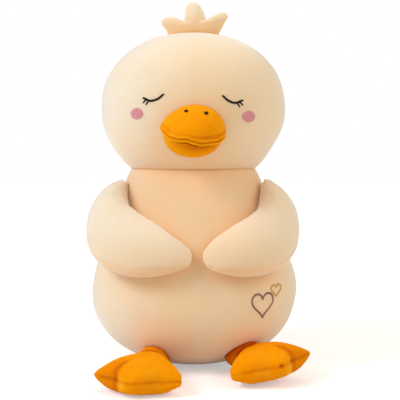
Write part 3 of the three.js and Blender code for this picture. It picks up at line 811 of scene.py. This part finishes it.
def makeFoot(sized):
    outline = [Vector((aside, -ahead, 0)) * foot["toeReach"] for ahead, aside in foot["outline"]]
    bm, paintedShade = roundForm(foot)
    napAndPaintedLight = maskLayer(bm, "napAndPaintedLight")
    side = sized["side"]
    turned = (Matrix.Rotation(side * math.radians(sized["turn"]), 3, "Z")
              @ Matrix.Rotation(-side * math.radians(sized["roll"]), 3, "Y")
              @ Matrix.Rotation(-math.radians(sized["pitch"]), 3, "X"))
    details = {}
    lowest = 0
    for vert in bm.verts:
        share = outlineShare(vert.co)
        upper = vert.co.z > 0
        blunt = foot["topBlunt" if upper else "soleBlunt"]
        reach = min(vert.co.xy.length, 1) ** blunt
        edge = curveAt(outline, share, closed=True)
        inward = (share - 0.5) * side
        outer, inner = inward - foot["creaseShare"], -inward - foot["creaseShare"]
        spread = ease(reach, *foot["creaseRise"])
        crease = hill(outer, foot["creaseWidth"]) * spread
        innerCrease = hill(inner, foot["innerCreaseWidth"]) * spread
        pinch = max(strength * hill(share - line, foot["pinchWidth"])
                    for line, strength in zip(foot["toeShares"], sized["pinches"][::side]))
        height = (foot["topRise"] if upper else -foot["soleDrop"]) * abs(vert.co.z) ** blunt
        for line, taper in zip(foot["toeShares"], foot["toeTapers" if upper else "soleTapers"]):
            height *= 1 - taper * hill(inward + 0.5 - line, foot["toeWidth"]) * reach ** 2
        vert.co = Vector((edge.x * reach, edge.y * reach, height))
        lowest = min(lowest, (turned @ vert.co).z)
        away = abs(height)
        groove = hill(away, foot["seamWidth"]) * ease(reach, foot["rimShare"], 0.15)
        groove *= 0.25 + 0.75 * smooth(0.5 + 3 * waviness(vert.co, foot["seamSpotSize"], 6))
        shown = 0.15 + 0.85 * ease(height, *foot["soleFade"])
        wrinkles = math.sin(share * 2 * math.pi * foot["puckers"] + 3 * math.sin(share * 19)) * 0.6
        wrinkles += 2.2 * waviness(vert.co, foot["puckerSize"], 4)
        puckers = fade(away, *foot["pucker"]) * ease(reach, 0.6, 0.3) * wrinkles
        tuck = pinch * hill(away, foot["pinchHeight"]) * ease(reach, 0.9, 0.1)
        creases = foot["creaseDepth"] * crease + foot["innerCreaseDepth"] * innerCrease
        details[vert] = puckers - foot["seamDepth"] * groove - foot["pinchDepth"] * tuck - creases * shown
        # Painted shade in the seam groove, the pinched tucks, the creases and on the outer toe's side; the
        # paler nap in patches is the plush's own
        outerToe = smooth(outer / 0.02 + 0.5) * ease(outer, *foot["toeShadeFall"]) * spread
        nap = hill(outer + foot["napShare"], 0.02) * spread * ease(height, *foot["napFall"])
        speckle = 0.5 + 0.5 * smooth(0.5 + 2.5 * waviness(vert.co, foot["speckleSize"], 7))
        warmth = foot["grooveWarmth"] * groove + foot["tuckWarmth"] * tuck + foot["creaseWarmth"] * crease
        warmth += foot["innerWarmth"] * innerCrease + foot["toeWarmth"] * outerToe
        vert[paintedShade] = min(warmth, 1)
        vert[napAndPaintedLight] = min(nap * speckle + 0.5 * innerCrease * speckle, 1)
    faceOut(bm)
    swellCloth(bm, cloth["voxel"], foot["cap"])
    moveOut(bm, lambda vert: details[vert] + stuffing(vert.co))
    place = Vector((side * sized["spread"], -sized["advance"], -lowest - foot["standDepth"]))
    turnAndPlace(bm, turned, place)
    keepAbove(bm, 0)
    return bm


def makeLeg(sized, footTree):
    side = sized["side"]
    root = Vector((side * sized["legSpread"], -leg["rootSetback"], sized["legHeight"]))
    end = Vector((side * sized["spread"], -sized["advance"], leg["ankleHeight"]))
    places = [root, root.lerp(end, 0.5), end]
    radii = [Vector((leg["radius"] * share, 0, 0)) for share in (1, leg["waistShare"], 1)]
    forward = (end - root).normalized()
    across = forward.cross(zAxis).normalized()
    upward = across.cross(forward)
    bm, paintedShade = roundForm(leg)
    for vert in bm.verts:
        along, around, swell = sweptAt(vert.co, leg["bluntShare"])
        folds = leg["gather"] * math.sin(around * leg["folds"] + leg["foldBend"] * math.sin(around * 3))
        spoke = upward * math.cos(around) + across * math.sin(around)
        vert.co = curveAt(places, along) + spoke * (curveAt(radii, along).x + folds) * swell
    faceOut(bm)
    for tree in (torsoTree, footTree):
        for vert in bm.verts:
            # Painted shade in the creases against the torso and the foot, and over the whole shank, which
            # stands in shade
            warmth = fade(proudOf(tree, vert.co), *leg["crease"]) + sized["legWarmth"]
            vert[paintedShade] = max(vert[paintedShade], min(warmth, 1))
        seatOn(bm, tree, leg["sink"])
    keepAbove(bm, leg["lift"])
    return bm


legTrees = []
for sideName, sized in (("left", leftFoot), ("right", rightFoot)):
    bodyName = f"{sideName}_leg"
    footBm = makeFoot(sized)
    seatOn(footBm, torsoTree, -foot["clearance"])
    footTree = BVHTree.FromBMesh(footBm)
    legBm = makeLeg(sized, footTree)
    legTrees += [footTree, BVHTree.FromBMesh(legBm)]
    # Painted shade on the foot where it meets the torso
    paintShadeNear(footBm, [torsoTree], line=0.5, halo=0.35, reach=11 * mm)
    stuffedPiece(f"{sideName}_foot_plush", footBm, "orange_plush", f"{sideName}_foot", bodyName)
    legPiece = stuffedPiece(bodyName + "_plush", legBm, "orange_plush", bodyName)
    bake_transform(legPiece)
print("legs and feet made")


# Bill, two padded halves that meet at a drooping, welted mouth

bill = {
    "root": 95 * mm, "mouthHeight": 317.5 * mm, "droop": 13.5 * mm,
    "turn": 4.2, "shift": -1 * mm, "lean": 0.11,
    "segments": 144, "rings": 72, "sink": 3 * mm, "cap": 1 * mm, "fullness": 2.2, "fullLevel": 0.2,
    "lipPull": 0.5 * mm, "lipReach": 3 * mm, "lipGap": 0.1 * mm,
    "flareReach": 5 * mm, "flareInset": 1.2 * mm, "waveReach": 11 * mm,
    "waveShares": (-1, -0.8, -0.65, -0.41, -0.15, 0.07, 0.26, 0.5, 0.75, 0.92, 1),
    "wave": (4.2, 2.4, -0.5, 0, 1.9, -0.2, -2.2, -2.1, -3.7, -2.3, -0.8),
    "dimple": 4 * mm, "dimpleSpot": (9 * mm, 5 * mm, 8 * mm, 18 * mm),
    "shade": 0.55, "shadeSpot": (4.5 * mm, 5 * mm, 8 * mm, 26 * mm),
    "pucker": 0.8 * mm, "puckerSize": 6 * mm, "cornerSpot": (6 * mm, 7 * mm, 38 * mm, 9 * mm),
    "seamAbove": 6 * mm, "seamWidth": 0.9 * mm, "seamDepth": 0.6 * mm, "seamWarmth": 0.55,
    "bandDeep": 0.3, "bandShare": 0.3, "bandWidth": 1.5 * mm,
    "lipWarmth": (14 * mm, 0.16), "farSide": 44 * mm, "rootWarmth": (1.5 * mm, 0.45),
}
welt = {"radius": 1.4 * mm, "steps": 120, "sides": 12, "wrap": 25,
        "sink": 0.06, "sinkFrom": 8, "sinkSteps": 26, "unevenness": 0.16,
        "taperSteps": 6, "taperStart": 0.35, "levelShare": 0.4, "levelSteps": 30}
upperBill = {"name": "upper_bill", "side": 1, "weltLevel": 3.9 * mm,
             "halfWidth": 43 * mm, "reach": 72 * mm, "rise": 37.5 * mm}
lowerBill = {"name": "lower_bill", "side": -1, "weltLevel": -0.4 * mm,
             "halfWidth": 39 * mm, "reach": 63 * mm, "rise": 31 * mm}


def mouthDroop(advance, half):
    return bill["droop"] * max(advance / half["reach"], 0) ** 2


def mouthWave(across):
    # The lips aren't quite even from one corner to the other
    share = min(max(across / upperBill["halfWidth"], -1), 1)
    shares, waves = bill["waveShares"], bill["wave"]
    index = max(step for step in range(len(shares) - 1) if shares[step] <= share)
    part = (share - shares[index]) / (shares[index + 1] - shares[index])
    return mix(waves[index], waves[index + 1], smooth(part)) * mm


def roundness(turns, power):
    # How far a fuller round than a circle reaches at a direction in which a circle reaches 1
    return sum(abs(turn) ** power for turn in turns) ** (-1 / power)


def spotAt(above, across, spot):
    # A soft spot at a height above the lips and a place across the bill, each with its width
    height, tall, middle, wide = spot
    return hill(above - height, tall) * hill(across - middle, wide)


def placeOnFace(bm):
    turned = Matrix.Rotation(math.radians(bill["turn"]), 3, "Y")
    turnAndPlace(bm, turned, Vector((bill["shift"], 0, bill["mouthHeight"])))
    seatOn(bm, headTree, bill["sink"])


def makeBill(half):
    side = half["side"]
    bm, paintedShade = roundForm(bill)
    for vert in bm.verts:
        power = mix(2, bill["fullness"], fade(abs(vert.co.z), bill["fullLevel"]))
        x, y, level = vert.co * roundness(vert.co, power)
        above = max(level * side, 0) * half["rise"]
        flare = fade(above, bill["flareReach"]) * float(side < 0) * smooth((-y - 0.1) / 0.5)
        wide = mix(half["halfWidth"], upperBill["halfWidth"] - bill["flareInset"], flare)
        deep = mix(half["reach"], upperBill["reach"] - bill["flareInset"], flare)
        across, advance = x * wide, -y * deep
        front = smooth(advance / half["reach"] * 1.6)
        lip = fade(above, bill["lipReach"])
        dimple = bill["dimple"] * spotAt(above, across, bill["dimpleSpot"]) * front * float(side < 0)
        pulled = (bill["lipPull"] * lip * float(level * side > 0.001) + dimple) / half["reach"]
        across *= 1 - pulled
        advance *= 1 - pulled
        corner = spotAt(above, abs(across), bill["cornerSpot"])
        wrinkle = bill["pucker"] * waviness(vert.co * 60 * mm, bill["puckerSize"], 6)
        wrinkle *= lip * 0.8 + corner * 1.6
        edge = float(side > 0 and level > 0.001)
        line = hill(above - bill["seamAbove"], bill["seamWidth"]) * edge
        height = side * (above + bill["lipGap"]) - mouthDroop(advance, half)
        height += mouthWave(across) * fade(above, bill["waveReach"])
        across += bill["lean"] * above * float(side > 0)
        vert.co = Vector((across, -bill["root"] - advance, height))
        vert.co += Vector((x, y, level)).normalized() * (wrinkle - bill["seamDepth"] * line)
        # Painted shade: deeper near the lips on the side away from the key light, in the seam groove above
        # the welt, on the band between that groove and the lip, and below the lower welt
        farSide = smooth(0.5 + across / bill["farSide"])
        vert[paintedShade] = (fade(above, *bill["lipWarmth"]) * farSide
                      + bill["seamWarmth"] * line * (0.3 + 0.7 * farSide))
        if side > 0:
            vert[paintedShade] += bill["bandDeep"] * edge * hill(above - bill["seamAbove"] * bill["bandShare"],
                                                         bill["bandWidth"])
        else:
            shade = bill["shade"] * spotAt(above, across, bill["shadeSpot"]) * front
            vert[paintedShade] = min(vert[paintedShade] + shade, 1)
    faceOut(bm)
    swellCloth(bm, cloth["voxel"] * cloth["fineShare"], bill["cap"])
    placeOnFace(bm)
    # Painted shade where the bill meets the head
    for vert in bm.verts:
        vert[paintedShade] = max(vert[paintedShade], fade(proudOf(headTree, vert.co), *bill["rootWarmth"]))
    return bm


def makeWelt(half):
    # A rolled lip: a soft cord of cloth round the mouth's edge
    steps, sides = welt["steps"], welt["sides"]
    wrap = math.radians(welt["wrap"])
    bm = bmesh.new()
    maskLayer(bm, "paintedShade")
    edges = set()
    for step in range(steps + 1):
        around = mix(-wrap, math.pi + wrap, step / steps)
        toEnd = min(step, steps - step)
        full = roundness((math.cos(around), math.sin(around)), bill["fullness"])
        full *= math.sqrt(1 - (half["weltLevel"] / upperBill["rise"]) ** 2)
        full *= 1 - welt["sink"] * (1 - ease(toEnd, welt["sinkFrom"], welt["sinkSteps"]))
        advance = upperBill["reach"] * math.sin(around) * full
        across = upperBill["halfWidth"] * math.cos(around) * full
        swell = 1 + welt["unevenness"] * noise.noise(Vector((step * 0.21, half["side"], 0)))
        radius = welt["radius"] * swell * smooth(toEnd / welt["taperSteps"] + welt["taperStart"])
        height = half["weltLevel"] * mix(welt["levelShare"], 1, smooth(toEnd / welt["levelSteps"]))
        height += mouthWave(across) - mouthDroop(advance, upperBill)
        along = Vector((-half["halfWidth"] * math.sin(around), -half["reach"] * math.cos(around), 0))
        turned = along.normalized().to_track_quat("Z", "Y").to_matrix()
        ring = bmesh.ops.create_circle(bm, segments=sides, radius=radius)["verts"]
        turnAndPlace(bm, turned, Vector((across, -bill["root"] - advance, height)), ring)
        edges.update(edge for vert in ring for edge in vert.link_edges)
    bmesh.ops.bridge_loops(bm, edges=list(edges))
    bmesh.ops.holes_fill(bm, edges=[edge for edge in bm.edges if edge.is_boundary], sides=sides)
    placeOnFace(bm)
    return bm


for half in (upperBill, lowerBill):
    bm = makeBill(half)
    if half is upperBill:
        billTree = BVHTree.FromBMesh(bm)
    stuffedPiece(half["name"] + "_plush", bm, "orange_plush", half["name"], "body")
    weltPiece = finishPiece(half["name"] + "_welt", makeWelt(half), "orange_plush")
    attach(weltPiece, "body")
print("bill made")


# Tuft, three lobes in one flat pad on the crown

tuft = {
    "width": 93 * mm, "height": 42.8 * mm, "halfThickness": 9.5 * mm, "sink": 1 * mm,
    "middleShare": 0.28, "bluntShare": 0.85, "segments": 160, "rings": 44,
    "outline": [(0, -0.3), (0.3, -0.28), (0.42, 0.1), (0.49, 0.36), (0.54, 0.58), (0.47, 0.72),
                (0.35, 0.64), (0.22, 0.53), (0.17, 0.72), (0.12, 0.92), (0.045, 1.07), (-0.06, 1.07),
                (-0.125, 0.86), (-0.16, 0.5), (-0.33, 0.58), (-0.45, 0.52), (-0.5, 0.34),
                (-0.43, 0.12), (-0.3, -0.28)],
    "seamDepth": 0.6 * mm, "seamWidth": 0.9 * mm, "seamWarmth": 0.1,
    "pucker": (5 * mm, 0.6 * mm), "puckerSize": 6 * mm, "stuffingShare": 0.6,
    "headSink": 3 * mm, "cap": 2 * mm, "line": (1.5 * mm, 0.4), "halo": (11 * mm, 0.4),
    "napAndPaintedLight": 0.45, "paintedLightFrom": 10 * mm, "paintedLightReach": 24 * mm,
}


def makeTuft():
    middle = tuft["height"] * tuft["middleShare"]
    outline = [Vector((across * tuft["width"], up * tuft["height"] - middle, 0))
               for across, up in tuft["outline"]]
    bm, paintedShade = roundForm(tuft)
    details = {}
    for vert in bm.verts:
        edge = curveAt(outline, outlineShare(vert.co), closed=True)
        level = vert.co.z
        reach = min(vert.co.xy.length, 1) ** tuft["bluntShare"]
        height = math.copysign(tuft["halfThickness"] * abs(level) ** tuft["bluntShare"], level)
        vert.co = Vector((edge.x * reach, edge.y * reach, height))
        away = abs(height)
        groove = hill(away, tuft["seamWidth"]) * ease(reach, 0.8, 0.15)
        puckers = (fade(away, *tuft["pucker"]) * ease(reach, 0.6, 0.3)
                   * waviness(vert.co, tuft["puckerSize"], 9))
        details[vert] = puckers - tuft["seamDepth"] * groove
        # Painted shade in the edge seam's groove
        vert[paintedShade] = tuft["seamWarmth"] * groove
    faceOut(bm)
    swellCloth(bm, cloth["voxel"] * cloth["fineShare"], tuft["cap"])
    moveOut(bm, lambda vert: details[vert] + tuft["stuffingShare"] * stuffing(vert.co))
    turnAndPlace(bm, Matrix.Rotation(math.pi / 2, 3, "X"), zAxis * (crownHeight - tuft["sink"] + middle))
    seatOn(bm, headTree, tuft["headSink"])
    # Painted shade at the tuft's foot against the head, and in a halo round it
    for vert in bm.verts:
        away = proudOf(headTree, vert.co)
        vert[paintedShade] = min(vert[paintedShade] + fade(away, *tuft["line"]) + fade(away, *tuft["halo"]), 1)
    # Painted light: the lobes paler above the crown
    lobes = crownHeight + tuft["paintedLightFrom"]
    addToMask(bm, "napAndPaintedLight", lambda co: tuft["napAndPaintedLight"] * ease(co.z, lobes, tuft["paintedLightReach"]))
    return bm


tuftBm = makeTuft()
tuftTree = BVHTree.FromBMesh(tuftBm)
stuffedPiece("tuft_plush", tuftBm, "cream_plush", "tuft", "body")
print("tuft made")

# Painted shade on the torso round the wings, on the chest under the head and round the legs, and on the
# head round the bill, the tuft and the neck
paintShadeNear(torsoBm, wingTrees, line=0.2, halo=0.4, reach=16 * mm, most=0.26)
paintShadeNear(torsoBm, [headTree], line=0, halo=0.16, reach=60 * mm)
paintShadeNear(torsoBm, legTrees, line=0.3, halo=0.06, reach=40 * mm)
paintShadeNear(headBm, [billTree, tuftTree], line=0.15, halo=0.12, reach=16 * mm)
paintShadeNear(headBm, [torsoTree], line=0, halo=0.1, reach=22 * mm)
stuffedPiece("body", torsoBm, "cream_plush", "body", "body")
stuffedPiece("head", headBm, "cream_plush", "head", "body")


# Embroidery: every stitch is a small bent grain of thread lying on the cloth

stitch = {"spacing": 0.5 * mm, "thickness": 0.6875 * mm, "sides": 6, "rings": 6,
          "endShare": 0.72, "taperShare": 1.2, "spread": 0.05, "wander": 0.03,
          "proud": 0.25 * mm, "heightShare": 0.24}


def addStitch(bm, place, normal, across, length, height):
    # One thread, long across the line it fills, proud of the cloth in its middle
    along = across.cross(normal).normalized()
    across = normal.cross(along).normalized()
    turned = Matrix((along, normal, across)).transposed().to_4x4()
    sizes = Matrix.Diagonal((stitch["thickness"] / 2, height, length / 2, 1))
    bmesh.ops.create_uvsphere(bm, u_segments=stitch["sides"], v_segments=stitch["rings"], radius=1,
                              matrix=Matrix.Translation(place) @ turned @ sizes)


def skinAt(tree, x, z, ahead=1):
    # The spot of a piece that the front shows at this place, or the back when ahead is -1
    place, normal, _, _ = tree.ray_cast(Vector((x, -0.6 * ahead, z)), yAxis * ahead)
    return place, normal


def satinLine(bm, tree, points, width):
    # Stitches side by side along a line, given by its places seen from the front
    length = sum((b - a).length for a, b in zip(points, points[1:]))
    count = max(int(length / stitch["spacing"]), 4)
    for index in range(count + 1):
        share = index / count
        flat = curveAt(points, share)
        ahead = curveAlong(points, share)
        place, normal = skinAt(tree, flat.x, flat.z)
        nextPlace, _ = skinAt(tree, flat.x + ahead.x * mm, flat.z + ahead.z * mm)
        along = (nextPlace - place).normalized()
        across = normal.cross(along).normalized()
        toEnd = min(share, 1 - share) * length
        taper = mix(stitch["endShare"], 1, smooth(toEnd / (stitch["taperShare"] * width)))
        wide = width * taper * (1 + stitch["spread"] * stitchRandom.uniform(-1, 1))
        wander = across * stitch["wander"] * width * stitchRandom.uniform(-1, 1)
        addStitch(bm, place + wander + normal * stitch["proud"], normal, across, wide,
                  width * stitch["heightShare"])


# The face's points are millimetres, out from its middle and up from the seat, drawn for the left side
face = {"middle": -1 * mm, "level": 340 * mm, "tilt": 1.4}
eye = {
    "width": 3.2 * mm, "lashWidth": 2.5 * mm,
    "lid": [(37.4, 366.5), (45, 360.2), (54.6, 357.6), (64.6, 361.6)],
    "lashes": [[(57, 357.2), (60.5, 352.6)], [(60.6, 358.8), (64.6, 354.8)]],
}
cheek = {"place": (72.7, 341.1), "halfWidth": 9.7 * mm, "halfHeight": 7.2 * mm, "row": 0.55 * mm,
         "edgeShare": 0.985, "threads": (4, 7), "overlap": 0.4 * mm, "overrun": 0.6 * mm,
         "proud": 0.2 * mm, "dome": 0.35 * mm, "stitchHeight": 0.55 * mm}
nostril = {"radius": 2.4 * mm, "stitches": 10, "edgeShare": 0.96, "stitchHeight": 0.8 * mm,
           "places": {1: (15.9 * mm, 341.7 * mm), -1: (-8.9 * mm, 344.4 * mm)}}


def facePoint(x, z, side):
    # The face is drawn level and then turned a little, as it sits on the head
    tilt = math.radians(face["tilt"])
    lift = z * mm - face["level"]
    x = side * x * mm
    return Vector((face["middle"] + x * math.cos(tilt) + lift * math.sin(tilt), 0,
                   face["level"] + lift * math.cos(tilt) - x * math.sin(tilt)))


def makeEye(side):
    bm = bmesh.new()
    lines = [(eye["lid"], eye["width"])] + [(lash, eye["lashWidth"]) for lash in eye["lashes"]]
    for points, width in lines:
        satinLine(bm, headTree, [facePoint(x, z, side) for x, z in points], width)
    return bm


def makeCheek(side):
    # Rows of stitches fill the round, each row in a few threads
    bm = bmesh.new()
    centre = facePoint(*cheek["place"], side)
    _, outward = skinAt(headTree, centre.x, centre.z)
    squeeze = abs(outward.y)
    rows = int(2 * cheek["halfHeight"] / cheek["row"])
    for row in range(rows + 1):
        up = mix(-1, 1, row / rows) * cheek["edgeShare"]
        half = cheek["halfWidth"] * math.sqrt(1 - up ** 2)
        start = -half
        while start < half:
            length = min(stitchRandom.uniform(*cheek["threads"]) * mm, half - start + cheek["overlap"])
            middle = start + length / 2
            place, normal = skinAt(headTree, centre.x + middle * squeeze,
                                   centre.z + up * cheek["halfHeight"])
            sideways = normal.cross(zAxis).normalized()
            dome = cheek["dome"] * (1 - up ** 2) * (1 - (middle / cheek["halfWidth"]) ** 2)
            addStitch(bm, place + normal * (cheek["proud"] + dome), normal, sideways,
                      length + cheek["overrun"], cheek["stitchHeight"])
            start += length
    return bm


def makeNostril(side):
    # A small round of stitches, seen as round from the front
    bm = bmesh.new()
    middle, height = nostril["places"][side]
    for index in range(nostril["stitches"]):
        share = mix(-1, 1, index / (nostril["stitches"] - 1)) * nostril["edgeShare"]
        wide = 2 * nostril["radius"] * math.sqrt(1 - share ** 2)
        spot, upward = skinAt(billTree, middle + share * nostril["radius"], height)
        across = upward.cross(xAxis).normalized()
        addStitch(bm, spot + upward * stitch["proud"], upward, across, wide / max(abs(across.z), 0.5),
                  nostril["stitchHeight"])
    return bm


def stitchedPiece(name, bm, finish, slotName, *nodes):
    piece = finishPiece(name + "_stitches", bm, finish, fineness=0)
    if nodes:
        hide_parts(*nodes)
    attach(piece, "body")


def embroidery(name, bm, finish):
    stitchedPiece(name, bm, finish, finish, name)


for sideName, side in (("left", 1), ("right", -1)):
    embroidery(f"{sideName}_eye", makeEye(side), "dark_thread")
    embroidery(f"{sideName}_cheek", makeCheek(side), "pink_thread")
    embroidery(f"{sideName}_nostril", makeNostril(side), "nostril_thread")


# Two hearts low on the left of the belly

largeHeart = {"across": 90 * mm, "height": 96 * mm, "size": 29 * mm, "width": 2.7 * mm}
smallHeart = {"across": 109 * mm, "height": 112 * mm, "size": 14 * mm, "width": 2.3 * mm}
heartLobes = [1.16, -0.45, -0.18, -0.09]
heartSteps = 12


def makeHeart(mark):
    bm = bmesh.new()
    for side in (1, -1):
        points = []
        for step in range(heartSteps + 1):
            t = math.pi * step / heartSteps
            across = side * mark["size"] * math.sin(t) ** 3 / 2
            wave = sum(lobe * math.cos((index + 1) * t) for index, lobe in enumerate(heartLobes))
            points.append(Vector((mark["across"] + across, 0,
                                  mark["height"] + mark["size"] * wave / (2 * heartLobes[0]))))
        satinLine(bm, torsoTree, points, mark["width"])
    return bm


embroidery("belly_heart_large", makeHeart(largeHeart), "rosewood_thread")
embroidery("belly_heart_small", makeHeart(smallHeart), "mustard_thread")


# The hand-sewn closing of the back seam

closing = {"low": 70 * mm, "high": 165 * mm, "stitches": 17, "lean": 0.25,
           "proud": 0.5 * mm, "length": 5.2 * mm, "height": 0.45 * mm}


def makeClosing():
    bm = bmesh.new()
    for index in range(closing["stitches"]):
        height = mix(closing["low"], closing["high"], index / (closing["stitches"] - 1))
        place, normal = skinAt(torsoTree, 0, height, ahead=-1)
        lean = Vector((1, 0, closing["lean"] * (-1) ** index)).normalized()
        addStitch(bm, place + normal * closing["proud"], normal, lean, closing["length"], closing["height"])
    return bm


stitchedPiece("back_closing", makeClosing(), "cream_thread", "cream_plush")
print("embroidery made")


# Floor, light and camera

studio = {"strength": 0.44, "light": (1, 0.96, 0.9, 1), "floorSize": 6,
          "floorColour": (0.85, 0.85, 0.85, 1), "floorRoughness": 0.9,
          "shadowReach": (0.3, 1.2), "nearLevel": 0.4}
lamps = {
    "key": {"place": (-2, -1, 1.9), "aim": (0, 0, 0.25), "size": 1.3, "energy": 37,
            "colour": (0.98, 1, 1.06)},
    "fill": {"place": (1.8, -0.8, 1.5), "aim": (0, 0, 0.2), "size": 1.5, "energy": 15,
             "colour": (1, 0.94, 0.84)},
    "top": {"place": (0.2, 0.2, 2.3), "aim": (0, 0, 0.3), "size": 1.4, "energy": 7,
            "colour": (1, 0.96, 0.9)},
}
camera = {
    "place": Vector((0, -1.109, 0.2985)), "focus": 784, "frame": 400, "sensor": 36,
    "duckPixel": 193.4, "horizonPixel": 147.9, "shiftPixels": 32,
}


def seenRays(tree):
    # The rays by which the camera, a gloss or glass sees the background
    rays = addNode(tree, "ShaderNodeLightPath").outputs
    seen = addMath(tree, "MAXIMUM", rays["Is Camera Ray"], rays["Is Glossy Ray"])
    return addMath(tree, "MAXIMUM", seen, rays["Is Transmission Ray"])


def makeStage():
    bm = bmesh.new()
    bmesh.ops.create_grid(bm, x_segments=1, y_segments=1, size=studio["floorSize"])
    floor = addMeshObject("floor", bm)
    bm.free()
    material = bpy.data.materials.new("pale_floor")
    material.use_nodes = True
    tree = material.node_tree
    coords = addNode(tree, "ShaderNodeTexCoord").outputs["Object"]
    away = addNode(tree, "ShaderNodeVectorMath", {0: coords}, operation="LENGTH").outputs["Value"]
    level = addScaled(tree, addRamp(tree, away, *studio["shadowReach"]),
                      1 - studio["nearLevel"], studio["nearLevel"])
    feed(tree, tree.nodes["Principled BSDF"], {
        "Base Color": studio["floorColour"], "Roughness": studio["floorRoughness"],
        "Specular IOR Level": 0, "Emission Color": white,
        "Emission Strength": addMath(tree, "MULTIPLY", seenRays(tree), level),
    })
    floor.data.materials.append(material)


def makeWorld():
    world = bpy.data.worlds.new("studio")
    bpy.context.scene.world = world
    world.use_nodes = True
    tree = world.node_tree
    seen = seenRays(tree)
    feed(tree, tree.nodes["Background"], {
        "Color": addMix(tree, seen, studio["light"], white),
        "Strength": addScaled(tree, seen, 1 - studio["strength"], studio["strength"]),
    })


def makeLamp(name, made):
    lamp = bpy.data.lights.new(name, "AREA")
    lamp.color = made["colour"]
    lamp.shape = "DISK"
    lamp.size = made["size"]
    lamp.energy = made["energy"]
    hung = addObject(name, lamp)
    hung.location = made["place"]
    hung.rotation_euler = (Vector(made["aim"]) - Vector(made["place"])).to_track_quat("-Z", "Y").to_euler()


def makeCamera():
    data = bpy.data.cameras.new("camera")
    data.sensor_width = camera["sensor"]
    data.lens = camera["focus"] / camera["frame"] * camera["sensor"]
    data.shift_y = -camera["shiftPixels"] / camera["frame"]
    viewer = addObject("camera", data)
    centre = camera["frame"] / 2
    pitch = math.atan((centre - camera["horizonPixel"] - camera["shiftPixels"]) / camera["focus"])
    yaw = math.atan((centre - camera["duckPixel"]) / camera["focus"])
    viewer.location = camera["place"]
    viewer.rotation_euler = (math.pi / 2 - pitch, 0, -yaw)
    bpy.context.scene.camera = viewer


makeStage()
makeWorld()
for name, made in lamps.items():
    makeLamp(name, made)
makeCamera()
bpy.context.scene.view_settings.view_transform = "Standard"
print("stage made")
